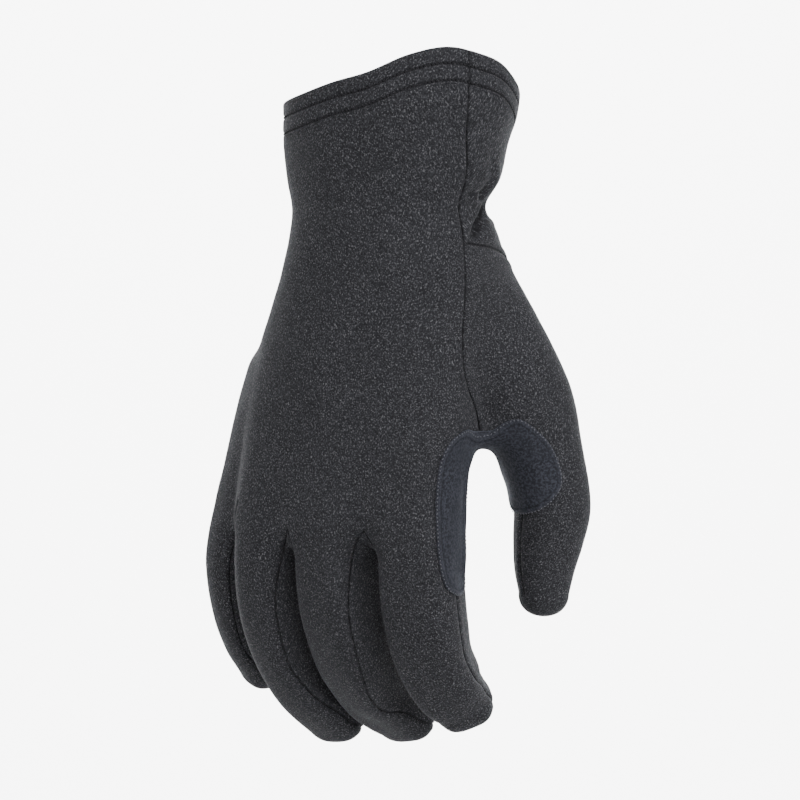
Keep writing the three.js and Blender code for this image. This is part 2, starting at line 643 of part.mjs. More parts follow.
// The thumb: a fan of rays round its axis, opening above the crotch into the seams on the hand.
const THUMB_LOWER_STEPS = [0.03, 0.07, 0.12, 0.18, 0.26, 0.36, 0.48, 0.61, 0.74, 0.87, 1];
const thumbStart = placeAtHeight("thumb", THUMB_TOP_Z);
const thumbCrotch = placeAtHeight("thumb", THUMB_CROTCH_Z - 6);
const thumbEnd = digits.thumb.length - 1;
function thumbRay(u, place, tilt = 0) {
  const s = stationAt(digits.thumb, place);
  const inner = THUMB_INNER_DIRECTION.clone();
  inner.addScaledVector(s.along, -inner.dot(s.along)).normalize();
  const side = inner.applyAxisAngle(s.along, -2 * Math.PI * u);
  side.multiplyScalar(Math.cos(tilt * DEGREE)).addScaledVector(s.along, Math.sin(tilt * DEGREE));
  return rayOf(s.centre, side);
}
function thumbRows() {
  const columns = thumbShares;
  const upper = THUMB_UPPER_STEPS.map((t, j) => columns.map((u, i) => {
    if (u === 0) return thumbBackSeam[j].ray;
    if (u === 1) return thumbPalmSeam[j].ray;
    if (j === 0) return thumbTop[i].ray;
    const z = mix(thumbTop[i].z, THUMB_CROTCH_Z, t);
    const angle = mix(mix(radialSeamAngle(z), thumbPalmAngle(t), u), thumbTop[i].angle, 1 - smooth(t * 2));
    const edge = mixRays(thumbBackSeam[j].ray, thumbPalmSeam[j].ray, u);
    const inside = smooth(Math.sin(Math.PI * u) * 2.2);
    const start = mixRays(edge, handRay(angle, z), inside * (1 - smooth((t - 0.55) / 0.45)));
    const hidden = 0.28 * (1 - smooth(t));
    const turn = mix(hidden, 1 - hidden, u) + THUMB_CROTCH_SPREAD * smooth(t) * Math.sin(2 * Math.PI * u);
    const fan = thumbRay(turn, mix(thumbStart, thumbCrotch, t));
    return mixRays(start, fan, smooth(Math.sin(Math.PI * u) * 1.6) * smooth(t / 0.75));
  }));
  const lower = THUMB_LOWER_STEPS.map((t) => columns.map((u) => {
    const nearEdge = 1 - smooth(Math.sin(Math.PI * u) * 1.6);
    const tilt = 18 * (1 - smooth(t / 0.2)) * (0.5 + 0.5 * Math.cos(2 * Math.PI * u));
    const turn = u + THUMB_CROTCH_SPREAD * (1 - smooth(t / 0.3)) * Math.sin(2 * Math.PI * u);
    const ray = thumbRay(turn % 1, mix(thumbCrotch, thumbEnd, t), tilt);
    return mixRays(ray, saddleRay, (1 - smooth(t / 0.16)) * nearEdge);
  }));
  const tip = TIP_TILTS.map((tilt) => columns.map((u) => thumbRay(tilt === 90 ? 0 : u % 1, thumbEnd, tilt)));
  return [...upper, ...lower, ...tip];
}

// A gusset between two fingers: down one finger's side from the tip, round the web and down to the other tip.
const GUSSET_COLUMNS = 3;
// How far a gusset's top corner stands back from the slit's start, as a share of the way to the web.
const WEB_CORNER_GAP = 0.04;
function gussetRows(k) {
  const [first, second] = [FINGERS[k], FINGERS[k + 1]];
  const edges = ["back", "palm"].map((face) => [k, k + 1].map((n) => stripRays(n, face, COLUMNS_PER_FINGER)));
  const webZ = (FINGER_WEBS[k][1] + FINGER_WEBS[k][3]) / 2;
  const centres = [first, second].map((name) => stationAt(digits[name], placeAtHeight(name, webZ)).centre);
  const aboveWeb = centres[0].clone().lerp(centres[1], 0.5).add(vec(...WEB_RAYS[k].slice(0, 3)));
  const crotch = rayOf(aboveWeb, vec(...WEB_RAYS[k].slice(3)));
  const side = (which) => FINGER_STATIONS.filter(({ tilt }) => tilt <= GUSSET_END_TILT).map((station, j) => {
    const name = which ? second : first;
    const column = which ? 0 : COLUMNS_PER_FINGER;
    const [back, palm] = edges.map((strips) => strips[which][j][column]);
    const lateral = digitRay(name, fingerPlace(name, crotch, station.share), which ? 90 : -90, station.tilt);
    const middle = mixRays(lateral, crotch, 1 - smooth(station.share / SHARE_FROM_HAND));
    return span(GUSSET_COLUMNS).map((u, i) => {
      if (i === 0) return j === 0 ? mixRays(back, middle, WEB_CORNER_GAP) : back;
      if (i === GUSSET_COLUMNS) return palm;
      return u < 0.5 ? mixRays(back, middle, 2 * u) : mixRays(middle, palm, 2 * u - 1);
    });
  });
  return [...side(0).reverse(), ...side(1).slice(1)];
}

const fleece = new THREE.MeshStandardMaterial({ color: 0x45464a, roughness: 0.95, metalness: 0 });
const suede = new THREE.MeshStandardMaterial({ color: 0x444854, roughness: 0.9, metalness: 0 });
const glove = new THREE.Group();
function addPiece(name, geometry, material) {
  const mesh = new THREE.Mesh(geometry, material);
  mesh.name = name;
  glove.add(mesh);
}

const backEdge = [...UPPER_SEAM, ...thumbBackSeam.slice(1), ...indexSeam("back")];
const palmEdge = [...UPPER_SEAM, ...thumbTop.slice(1, -1), ...thumbPalmSeam, ...indexSeam("palm")];
const backSheet = new Sheet().addGrid(panelRows("back", backEdge));
const palmSheet = new Sheet().addGrid(panelRows("palm", palmEdge));
FINGERS.forEach((_, k) => {
  backSheet.addGrid(stripRays(k, "back", COLUMNS_PER_FINGER));
  palmSheet.addGrid(stripRays(k, "palm", COLUMNS_PER_FINGER));
});
addPiece("back_panel", sheetGeometry(backSheet, 0, -FLEECE_WALL), fleece);
addPiece("palm_panel", sheetGeometry(palmSheet, 0, -FLEECE_WALL), fleece);
addPiece("thumb_panel", sheetGeometry(new Sheet().addGrid(thumbRows()), 0, -FLEECE_WALL), fleece);
FINGER_WEBS.forEach((_, k) => {
  const sheet = new Sheet().addGrid(gussetRows(k));
  addPiece(`gusset_${FINGERS[k]}_${FINGERS[k + 1]}`, sheetGeometry(sheet, 0, -FLEECE_WALL), fleece);
});

// The grip patch: a strip over the thumb's crotch, from the index finger's side up to the web and down the thumb.
// Each row has a point inside the glove, and points by the skin that its rays aim at across the strip.
const PATCH_COLUMNS = ["inside", "backEdge", "middle", "palmEdge"];
const PATCH_ROWS = [
  [[8.3, 1.8, -176], [21.7, -2.2, -176], [21.6, 1.2, -176.4], [21.3, 4.4, -175.5]],
  [[8.4, 1, -173], [21.1, -6.6, -173.7], [21.7, 0.4, -173.6], [20.9, 6.8, -172.5]],
  [[8.7, -0.7, -166.5], [20.4, -9.4, -168], [22.1, -1.3, -167], [21.6, 6.8, -166]],
  [[8.8, -1.6, -157], [20.2, -11.5, -158.5], [23.1, -2.6, -157], [22.1, 7, -157]],
  [[8.7, -1.4, -146.3], [20.1, -12.1, -146.3], [23.6, -3, -146], [22.8, 7, -146.5]],
  [[8.2, -1, -136.3], [20.5, -11.4, -136.3], [24, -3.3, -135.5], [23.6, 6, -136]],
  [[9.8, 0.5, -130.5], [21.3, -10.1, -129.6], [24.3, -1.2, -131.3], [23.4, 7.3, -132.5]],
  [[12.5, 3, -125], [23.2, -7, -124.2], [24.3, 2, -128], [22.4, 9.4, -130]],
  [[17, 7, -116.5], [24.8, -1, -120.8], [24.1, 6, -125], [21.6, 11.5, -126]],
  [[22, 11, -106], [24.9, 6, -118.6], [23.4, 11, -118], [23, 15.3, -117.5]],
  [[25.6, 16.4, -109], [27.5, 10.5, -117.3], [26.1, 14.8, -117.8], [24.4, 18.9, -121.5]],
  [[29, 21, -113], [32.5, 13.4, -116.4], [28.6, 16.8, -122.5], [25, 21.5, -126]],
  [[31.8, 25.8, -117], [38.5, 14.6, -117.2], [31.2, 18.2, -127], [25, 24, -129.5]],
  [[34.5, 29.5, -121], [43, 17.8, -120.9], [33.2, 19.2, -131], [24.9, 26, -132.4]],
  [[36, 32, -126], [46, 21.8, -126], [34.5, 19.8, -134.5], [24.7, 28, -135]],
  [[37.6, 34.3, -133], [47.8, 25.2, -133.5], [35.3, 21.2, -139], [24.8, 30.4, -138.5]],
  [[38.6, 36, -139.5], [47.9, 26.2, -139.8], [35.8, 22.9, -143.5], [25.5, 31.5, -142]],
  [[39, 37.3, -145], [45.2, 25, -144.9], [35.8, 24, -147], [26.8, 31, -145.8]],
  [[38.9, 38, -148.5], [41.3, 24, -148], [34.6, 25.2, -149.3], [29.3, 28.4, -148.6]],
];
function patchRows() {
  return PATCH_ROWS.map((row) => {
    const [inside, back, middle, palm] = row.map((point) => vec(...point));
    return span(8).map((u) => {
      const target = back.clone().multiplyScalar((1 - u) * (1 - 2 * u))
        .addScaledVector(middle, 4 * u * (1 - u))
        .addScaledVector(palm, u * (2 * u - 1));
      return rayOf(inside, target.sub(inside));
    });
  });
}
addPiece("grip_patch", sheetGeometry(new Sheet().addGrid(patchRows()), PATCH_GAP + PATCH_THICKNESS, PATCH_GAP), suede);

// The hem: one folded band round the wrist.
const HEM_COLUMNS = 44;
const hemRows = [0, 0.5, 1].map((down) => span(HEM_COLUMNS).map((s) => {
  const angle = 360 * (s % 1);
  return handRay(angle, rimHeight(angle) - HEM_DEPTH * down);
}));
addPiece("cuff_hem", sheetGeometry(new Sheet().addGrid(hemRows), 0, -HEM_WALL), fleece);

export default glove;
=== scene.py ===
import math

import bpy
import numpy as np
from bpy.props import FloatProperty, FloatVectorProperty, IntProperty, PointerProperty
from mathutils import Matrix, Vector


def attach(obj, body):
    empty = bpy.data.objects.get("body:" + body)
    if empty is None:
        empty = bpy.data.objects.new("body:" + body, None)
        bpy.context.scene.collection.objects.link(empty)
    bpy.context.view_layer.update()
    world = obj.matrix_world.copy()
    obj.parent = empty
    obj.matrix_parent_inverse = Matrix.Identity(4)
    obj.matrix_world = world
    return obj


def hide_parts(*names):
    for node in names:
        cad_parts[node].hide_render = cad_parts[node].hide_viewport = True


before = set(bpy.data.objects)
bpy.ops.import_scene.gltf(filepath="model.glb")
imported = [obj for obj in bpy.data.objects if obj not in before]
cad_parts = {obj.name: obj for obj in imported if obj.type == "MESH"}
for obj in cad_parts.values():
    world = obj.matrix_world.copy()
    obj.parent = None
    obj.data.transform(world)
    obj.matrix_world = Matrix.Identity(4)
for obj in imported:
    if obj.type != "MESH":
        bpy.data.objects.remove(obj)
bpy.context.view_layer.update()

bl_info = {
    "name": "Fleece Glove",
    "version": (1, 0, 0),
    "blender": (4, 5, 0),
    "location": "View3D > Sidebar > Glove",
    "description": "Builds a sewn fleece glove with a suede grip patch, panel by panel",
    "category": "Add Mesh",
}

MM = 0.001
DEGREE = math.pi / 180

# The hand's sections from the cuff down: z, centre x and y, half width and depth, ulnar and radial arch,
# squareness.
HAND_SECTIONS = [
    [16, 0.0, 0, 41.5, 30.0, 0, 0, 2.2],
    [0, 0.3, 0, 41.5, 30.0, 0, 0, 2.2],
    [-12, 0.2, 0, 41.3, 29.5, 0, 0, 2.2],
    [-25, -1.8, 0, 39.6, 27.5, 0, 0, 2.2],
    [-36, -2.6, 0, 38.2, 25.5, 1, 0, 2.2],
    [-46, -4.0, 0, 35.8, 24.0, 2, 0, 2.2],
    [-56, -5.2, 0, 36.2, 23.5, 3, 0, 2.3],
    [-66, -6.8, 0, 37.6, 23.0, 4, 0, 2.4],
    [-77, -9.6, 0, 39.6, 22.0, 6, 1, 2.5],
    [-97, -15.2, -0.5, 42.8, 20.5, 10, 1.5, 2.6],
    [-117, -20.0, -1, 45.2, 18.4, 13, 2, 2.8],
    [-138, -23.8, -1.5, 45.5, 16.2, 16, 3, 2.9],
    [-155, -26.6, -1.5, 46.4, 14.4, 17, 3, 2.9],
    [-175, -28.5, -1, 48.5, 13.0, 18, 3, 2.9],
]
# Each digit's roll, squareness and sections: x, y, z, half width, half depth.
DIGITS = {
    "index": (6, 3.2, [
        [3, 0, -112, 12.5, 13.0],
        [6.6, -1, -135, 11.8, 13.4],
        [7.5, -1.5, -158, 12.1, 13.5],
        [7.7, 1.5, -175, 13.3, 12.8],
        [7.3, 6, -188, 13.2, 12.0],
        [7.0, 12.5, -199, 12.3, 11.3],
        [7.8, 21, -208.4, 11.6, 10.6],
        [9.4, 28.2, -214.2, 9.9, 9.2],
    ]),
    "middle": (-14, 3.2, [
        [-19, 1, -112, 11, 13.0],
        [-22.0, -1.5, -137, 11.5, 13.8],
        [-23.0, -2, -160, 11.6, 13.8],
        [-23.4, 1.5, -177, 12.3, 13.6],
        [-23.8, 7.6, -190, 12.5, 12.8],
        [-24.4, 16.4, -202, 12.2, 11.8],
        [-24.2, 28.5, -212.5, 11.4, 10.4],
        [-19.9, 42, -221, 10.7, 8.8],
    ]),
    "ring": (-16, 2.8, [
        [-38, 2, -112, 10.5, 12],
        [-46, 1, -138, 10.8, 13],
        [-49.9, 0.8, -162, 10.6, 12.6],
        [-51.6, 4.2, -177, 10.5, 12.0],
        [-52.2, 10, -190, 10.4, 11.4],
        [-52.0, 18.5, -202, 10.2, 10.8],
        [-49.2, 28, -213, 11.0, 10],
        [-45.4, 38, -222, 11.0, 8.8],
    ]),
    "little": (-32, 2.5, [
        [-52, 9, -104, 9, 10.5],
        [-59.6, 10, -128, 9.4, 11.2],
        [-67.0, 11.8, -150, 9.6, 11.0],
        [-72.2, 15.3, -166, 9.5, 10.6],
        [-74.4, 21.5, -181, 9.4, 10.0],
        [-75.0, 29.5, -194, 9.2, 9.6],
        [-74.0, 37.5, -204.5, 8.8, 8.4],
    ]),
    "thumb": (60, 2.2, [
        [12, 6, -52, 10, 10],
        [17, 12, -64, 14, 13],
        [22, 18, -80, 16, 15],
        [28.5, 24, -97, 16.2, 15.5],
        [34.0, 29, -112, 15.8, 15.3],
        [37.4, 33, -127.5, 13.8, 14.0],
        [39.2, 35.5, -138, 13.2, 13.2],
        [39.5, 38, -148, 13.3, 12.3],
        [37.2, 40, -158, 12.6, 11.0],
        [35.0, 41.5, -168, 10.8, 9.6],
        [34.4, 42, -177, 8.8, 8.2],
    ]),
}
FINGERS = ["index", "middle", "ring", "little"]
FINGER_BLEND, KNUCKLE_BLEND, THUMB_BLEND, WEB_BLEND = 0.6, 7, 12, 8
WEB_Z, WEB_PALM_SLOPE, WEB_ULNAR_FROM, WEB_ULNAR_RISE = -162, 0.35, -42, 0.013

# Dents where the wrist's elastic gathers the cloth, and the fuller web of the thumb's crotch at the end:
# x, y, z, reach across and along, depth.
DENTS = [
    [32, -8, -45, 10, 6, 2.0],
    [34, 4, -54, 9, 5, -1.4],
    [31, 12, -44, 12, 6, 1.8],
    [0, 25, -46, 30, 7, 1.4],
    [27, 15, -122, 8, 6, -3.0],
]

# Seams: angles round the hand from the thumb side, positive over the back of the hand.
RADIAL_SEAM = [[16, 34], [-13, 34], [-40, 26], [-58, 22], [-80, 18], [-100, 16], [-125, 10], [-160, 6]]
ULNAR_SEAM_ANGLE = 197
THUMB_PALM_ANGLE, THUMB_PALM_BULGE = -62, 16
THUMB_TOP_Z, THUMB_CROTCH_Z, THUMB_FREE_Z = -58, -113, -119
THUMB_TOP_SEAM = [[0, 22, -58], [0.35, -9, -59.2], [0.6, -30, -61.5], [0.8, -48, -66], [1, -62, -75]]
FINGER_WEBS = [[61, -158, -62, -162], [102, -158, -102, -163], [139, -149, -127, -157]]
RADIAL_EDGE_Z, ULNAR_EDGE_Z = -158, -144
# The ray down to each web: its start's shift from the middle of the two fingers' axes, and its aim.
WEB_RAYS = [((0, 0, 12), (0, 0, -1.8)), ((-1, 2, 12), (0, 0, -1.8)), ((-3, 4, 12), (0, 0, -1.8))]
SADDLE = ((22, 11, -106), (0.12, 0, -1))
BACK_TO_SADDLE = [
    [0, 8, -3, -92, 27, -7, -93],
    [0.25, 12, -1, -97, 27, -5, -100],
    [0.5, 16, 3, -101, 27, -1, -107.5],
    [0.75, 19.5, 7.5, -104, 26, 5.5, -114],
    [1, 22, 11, -106, 23.44, 11, -118],
]
PALM_TO_SADDLE = [
    [0, -9, 2, -89, -5, 21, -91],
    [0.25, -4, 4, -95, 0, 19.5, -99],
    [0.5, 4, 6, -100, 8, 18, -108],
    [0.75, 13, 9, -104, 16, 15.5, -115],
    [1, 22, 11, -106, 23.44, 11, -118],
]
SADDLE_Z, SADDLE_PALM_ANGLE = -118, -55
THUMB_UPPER_STEPS = [0, 0.14, 0.28, 0.42, 0.54, 0.65, 0.75, 0.84, 0.92, 1]
THUMB_LOWER_STEPS = [0, 0.03, 0.07, 0.12, 0.18, 0.26, 0.36, 0.48, 0.61, 0.74, 0.87, 1]
BACK_CORNER, PALM_CORNER, GUSSET_END_TILT = 52, 128, 50
# Gathers at the wrist: soft folds between two points near the skin, with width and height.
GATHERS = [
    [31.2, 4.9, -44.2, 30.7, -5.7, -55.6, 1.9, -3.0],
    [34.1, -1.9, -36.7, 30.9, -0.3, -42.2, 1.3, -1.7],
    [31, -3, -40, 31, 0.7, -43, 1.2, -1.6],
    [30.2, -8.6, -39.7, 30.3, -6, -43.6, 1.2, -1.5],
    [31, 1.6, -44.6, 30.3, -3.4, -49.4, 1.4, 0.9],
    [36.3, 0, -31, 33.5, 4, -39.8, 1.7, 0.8],
    [36.8, -4, -27, 34.6, -2.6, -34.2, 1.7, -0.8],
    [30, 12, -43, 24, 20, -46, 2, -1.3],
    [31, 10, -50, 25, 19, -50, 2, 0.8],
]
INDEX_OUTER, LITTLE_OUTER = 76, 82
RIM_ROWS = [
    [-180, -8.5], [-120, -9.5], [-60, -10], [-25, -7], [-10, -3.2], [2, 0.2], [13, 2.8], [25, 4.6],
    [45, 6.7], [65, 4.2], [87, -1.2], [105, -3.7], [130, -7.2], [150, -8.5], [180, -8.5],
]
# The hem: its depth, the cloth its rays cover, its wall and edge, its steps round, and its sewn rows.
HEM_DEPTH, HEM_CLOTH, HEM_WALL, HEM_STEPS = 12.4, 13, 3.2, 400
HEM_RAISED, HEM_EDGE_WIDTH, HEM_EDGE_DEPTH, HEM_MM_PER_DEGREE = 0.25, 1.7, 1.6, 0.6
HEM_ROWS, HEM_ROW_WIDTH, HEM_ROW_DEPTH = (5.6, 11.2), 0.7, 0.6

# Shares down a finger's strip, tilts over its tip, and the closer places beside a seam.
SHARES = np.array([0, 0.125, 0.2, 0.27, 0.36, 0.46, 0.56, 0.67, 0.78, 0.89, 1])
TILTS = np.array([0, 25, 50, 70, 90])
EDGE = (0.03, 0.07, 0.12, 0.2)
# How far rays are followed and by which step, and how they start higher near the webs: by, from and over.
RAY_LONGEST, RAY_STEP = 75, 1.5
RAY_LIFT, RAY_LIFT_FROM, RAY_LIFT_OVER = 14, -125, 28
# A sewn line's depth and width against an edge's, the swell beside both, and what the seam attribute says
# far from them.
LINE_DEPTH, LINE_WIDTH, SEAM_SWELL, FAR_AWAY = 0.6, 0.8, 0.22, 9.0

# The grip patch from the index finger over the crotch to the thumb: a point inside, and points by the skin
# that its rays aim at on the back edge, in the middle and on the palm edge.
PATCH_ROWS = [
    [(8.3, 1.8, -176), (21.7, -2.2, -176), (21.6, 1.2, -176.4), (21.3, 4.4, -175.5)],
    [(8.4, 1, -173), (21.1, -6.6, -173.7), (21.7, 0.4, -173.6), (20.9, 6.8, -172.5)],
    [(8.7, -0.7, -166.5), (20.4, -9.4, -168), (22.1, -1.3, -167), (21.6, 6.8, -166)],
    [(8.8, -1.6, -157), (20.2, -11.5, -158.5), (23.1, -2.6, -157), (22.1, 7, -157)],
    [(8.7, -1.4, -146.3), (20.1, -12.1, -146.3), (23.6, -3, -146), (22.8, 7, -146.5)],
    [(8.2, -1, -136.3), (20.5, -11.4, -136.3), (24, -3.3, -135.5), (23.6, 6, -136)],
    [(9.8, 0.5, -130.5), (21.3, -10.1, -129.6), (24.3, -1.2, -131.3), (23.4, 7.3, -132.5)],
    [(12.5, 3, -125), (23.2, -7, -124.2), (24.3, 2, -128), (22.4, 9.4, -130)],
    [(17, 7, -116.5), (24.8, -1, -120.8), (24.1, 6, -125), (21.6, 11.5, -126)],
    [(22, 11, -106), (25.2, 7, -119.6), (23.6, 11.2, -118.6), (23, 15.6, -118)],
    [(25.6, 16.4, -109), (28.2, 11.8, -118.8), (26.3, 15, -119), (24.4, 18.9, -121.5)],
    [(29, 21, -113), (32.6, 13.9, -117.4), (28.6, 16.8, -122.5), (25, 21.5, -126)],
    [(31.8, 25.8, -117), (38.5, 14.6, -117.2), (31.2, 18.2, -127), (25, 24, -129.5)],
    [(34.5, 29.5, -121), (43, 17.8, -120.9), (33.2, 19.2, -131), (24.9, 26, -132.4)],
    [(36, 32, -126), (46, 21.8, -126), (34.5, 19.8, -134.5), (24.7, 28, -135)],
    [(37.6, 34.3, -133), (47.8, 25.2, -133.5), (35.3, 21.2, -139), (24.8, 30.4, -138.5)],
    [(38.6, 36, -139.5), (47.9, 26.2, -139.8), (35.8, 22.9, -143.5), (25.5, 31.5, -142)],
    [(39, 37.3, -145), (45.2, 25, -144.9), (35.8, 24, -147), (26.8, 31, -145.8)],
    [(38.9, 38, -148.5), (41.3, 24, -148), (34.6, 25.2, -149.3), (29.3, 28.4, -148.6)],
]


# Numbers.


def mix(a, b, t):
    return a + (b - a) * t


def smooth(t):
    """The cubic step from 0 to 1 between t = 0 and t = 1."""
    c = np.clip(t, 0, 1)
    return c * c * (3 - 2 * c)


def unit(v):
    return v / np.maximum(np.linalg.norm(v, axis=-1, keepdims=True), 1e-12)


def soft_min(a, b, k):
    """The lower of two fields, rounded over a width k where they cross."""
    h = np.clip(0.5 + 0.5 * (b - a) / k, 0, 1)
    return mix(b, a, h) - k * h * (1 - h)


def table_curve(rows, key):
    """A smooth curve through table rows by their first column, with slopes from each row's neighbours."""
    rows = np.asarray(rows, float)
    rows = rows[np.argsort(rows[:, 0], kind="stable")]
    n = len(rows)
    low = np.maximum(np.arange(n) - 1, 0)
    high = np.minimum(np.arange(n) + 1, n - 1)
    slope = (rows[high] - rows[low]) / (rows[high, :1] - rows[low, :1])
    x = np.clip(np.asarray(key, float), rows[0, 0], rows[-1, 0])
    i = np.clip(np.searchsorted(rows[:, 0], x, side="left") - 1, 0, n - 2)
    h = (rows[i + 1, 0] - rows[i, 0])[..., None]
    t = (x - rows[i, 0])[..., None] / h
    return (
        (2 * t**3 - 3 * t**2 + 1) * rows[i]
        + (t**3 - 2 * t**2 + t) * h * slope[i]
        + (3 * t**2 - 2 * t**3) * rows[i + 1]
        + (t**3 - t**2) * h * slope[i + 1]
    )


def through(values, places):
    """A smooth curve through values at whole places 0, 1, 2..., read at any places between them."""
    values = np.asarray(values, float)
    n = len(values)
    flat = values.reshape(n, -1)
    made = table_curve(np.column_stack([np.arange(n), flat]), places)[..., 1:]
    return made.reshape((len(places),) + values.shape[1:])


# The hand's field.


def catmull_rom(points, t):
    """A uniform spline through the points, with mirrored end points, for t from 0 to 1 over the whole."""
    p = np.vstack([2 * points[0] - points[1], points, 2 * points[-1] - points[-2]])
    x = np.clip(t, 0, 1) * (len(points) - 1)
    i = np.minimum(np.floor(x).astype(int), len(points) - 2)
    w = (x - i)[:, None]
    a, b, c, d = p[i], p[i + 1], p[i + 2], p[i + 3]
    m, n = 0.5 * (c - a), 0.5 * (d - b)
    return b + m * w + (3 * c - 3 * b - 2 * m - n) * w**2 + (2 * b - 2 * c + m + n) * w**3


def digit_stations(roll, sections):
    """A digit's axis as close stations: centre, directions along, across and to the nail side, half
    width and depth."""
    sections = np.asarray(sections, float)
    n = (len(sections) - 1) * 6
    t = np.linspace(0, 1, n + 1)
    inner = np.clip(t, 0.001, 0.999)
    along = unit(catmull_rom(sections[:, :3], inner + 1e-4) - catmull_rom(sections[:, :3], inner - 1e-4))
    nail = np.array([math.sin(roll * DEGREE), -math.cos(roll * DEGREE), 0])
    across = unit(np.cross(nail, along))
    across *= np.where(across[:, :1] < 0, -1, 1)
    back = unit(np.cross(along, across))
    back *= np.where((back @ nail)[:, None] < 0, -1, 1)
    sizes = through(sections[:, 3:5], t * (len(sections) - 1))
    return {"centre": catmull_rom(sections[:, :3], t), "along": along, "across": across, "back": back,
            "width": sizes[:, 0], "depth": sizes[:, 1]}


STATIONS = {name: digit_stations(roll, rows) for name, (roll, _, rows) in DIGITS.items()}


def station_at(name, place):
    """The stations of a digit read at fractional places along its axis."""
    s = STATIONS[name]
    place = np.asarray(place, float)
    i = np.clip(np.floor(place).astype(int), 0, len(s["width"]) - 2)
    t = np.clip(place - i, 0, 1)
    made = {key: mix(s[key][i], s[key][i + 1], t) for key in ("width", "depth")}
    made["centre"] = mix(s["centre"][i], s["centre"][i + 1], t[..., None])
    for key in ("along", "across", "back"):
        made[key] = unit(mix(s[key][i], s[key][i + 1], t[..., None]))
    return made


def place_near(p, name):
    """The place on a digit's axis whose section holds each point: the nearest station, then two projections."""
    s = STATIONS[name]
    squared = (p**2).sum(-1)[..., None] - 2 * p @ s["centre"].T + (s["centre"] ** 2).sum(-1)
    place = squared.argmin(-1).astype(float)
    step = np.linalg.norm(s["centre"][1] - s["centre"][0])
    for _ in range(2):
        at = station_at(name, place)
        place = np.clip(place + ((p - at["centre"]) * at["along"]).sum(-1) / step, 0, len(s["width"]) - 1)
    return place


def section_distance(ratios, sizes, power):
    """Distance, roughly, from a squarish ellipse: the radial measure divided by its own slope."""
    g = sum(r**power for r in ratios) ** (1 / power) + 1e-9
    slope = np.sqrt(sum(((r / g) ** (power - 1) / size) ** 2 for r, size in zip(ratios, sizes)))
    return (g - 1) / np.maximum(slope, 1e-6)


def digit_field(p, name):
    s = station_at(name, place_near(p, name))
    q = p - s["centre"]
    ratios = [np.abs((q * s["across"]).sum(-1)) / s["width"], np.abs((q * s["back"]).sum(-1)) / s["depth"],
              np.abs((q * s["along"]).sum(-1)) / s["depth"]]
    return section_distance(ratios, [s["width"], s["depth"], s["depth"]], DIGITS[name][1])


def hand_at(z):
    return np.moveaxis(table_curve(HAND_SECTIONS, z), -1, 0)


def arch_at(s, x):
    return np.where(x < 0, s[5], s[6]) * (x / s[3]) ** 2


def glove_field(p):
    """Negative inside the glove's skin, in millimetres: a soft union of body, fingers and thumb, with dents."""
    s = hand_at(p[..., 2])
    x = p[..., 0] - s[1]
    y = p[..., 1] - s[2] - arch_at(s, x)
    sides = section_distance([np.abs(x) / s[3], np.abs(y) / s[4]], [s[3], s[4]], s[7])
    web = WEB_Z - WEB_PALM_SLOPE * p[..., 1] + WEB_ULNAR_RISE * np.maximum(0, WEB_ULNAR_FROM - p[..., 0]) ** 2
    body = -soft_min(-sides, p[..., 2] - web, WEB_BLEND)
    fingers = digit_field(p, "index")
    for name in FINGERS[1:]:
        fingers = soft_min(fingers, digit_field(p, name), FINGER_BLEND)
    field = soft_min(soft_min(body, fingers, KNUCKLE_BLEND), digit_field(p, "thumb"), THUMB_BLEND)
    for dx, dy, dz, reach, height, depth in DENTS:
        across = ((p[..., 0] - dx) ** 2 + (p[..., 1] - dy) ** 2) / reach**2
        field = field + depth * np.exp(-across - ((p[..., 2] - dz) / height) ** 2)
    return field


def cast(rays, level, guess=None):
    """Distances along rays from inside to where the field reaches a level: steps outward, then false position."""
    origin, direction = rays[0].reshape(-1, 3), unit(rays[1]).reshape(-1, 3)
    n = len(origin)
    level = np.broadcast_to(np.asarray(level, float), rays[0].shape[:-1]).reshape(-1)
    near = np.zeros(n) if guess is None else np.maximum(guess.reshape(-1) - 4, 0)

    def field(rows, t):
        return glove_field(origin[rows] + direction[rows] * t[:, None]) - level[rows]

    rows = np.arange(n)
    low = field(rows, near)
    near[low > 0] = 0
    low[low > 0] = -1
    far, high = near.copy(), np.zeros(n)
    active = rows
    while len(active) and far[active].min() < RAY_LONGEST:
        far[active] += RAY_STEP
        value = field(active, far[active])
        still = value < 0
        near[active[still]] = far[active[still]]
        low[active[still]] = value[still]
        high[active[~still]] = value[~still]
        active = active[still & (far[active] < RAY_LONGEST)]
    for _ in range(6):
        t = np.clip(near - low * (far - near) / np.where(high - low == 0, 1, high - low),
                    mix(near, far, 0.02), mix(near, far, 0.98))
        value = field(rows, t)
        inside = value < 0
        high = np.where(inside, high * np.where(np.abs(value) < 1e-3, 1, 0.6), value)
        low = np.where(inside, value, low * np.where(np.abs(value) < 1e-3, 1, 0.6))
        near, far = np.where(inside, t, near), np.where(inside, far, t)
    return np.where(np.abs(low) < np.abs(high), near, far).reshape(rays[0].shape[:-1])


def along_ray(rays, t):
    return rays[0] + unit(rays[1]) * t[..., None]


# Rays.


def mix_rays(a, b, t):
    t = np.asarray(t, float)[..., None]
    return mix(a[0], b[0], t), mix(a[1], b[1], t)


def ray(origin, aim):
    return np.asarray(origin, float), np.asarray(aim, float)


def hand_ray(angle, z):
    """Rays from the hand's middle sheet, turned by an angle round the hand. Near the webs they start higher."""
    angle, z = np.broadcast_arrays(np.asarray(angle, float), np.asarray(z, float))
    s = hand_at(z)
    c, d = np.cos(angle * DEGREE), np.sin(angle * DEGREE)
    x = 0.85 * (s[3] - s[4]) * c
    lift = RAY_LIFT * smooth((RAY_LIFT_FROM - z) / RAY_LIFT_OVER)
    origin = np.stack([s[1] + x, s[2] + arch_at(s, x), z + lift], -1)
    reach = 17 + np.where(x < 0, 10, 4) * c**2
    return origin, np.stack([c, -d, -lift / reach], -1)


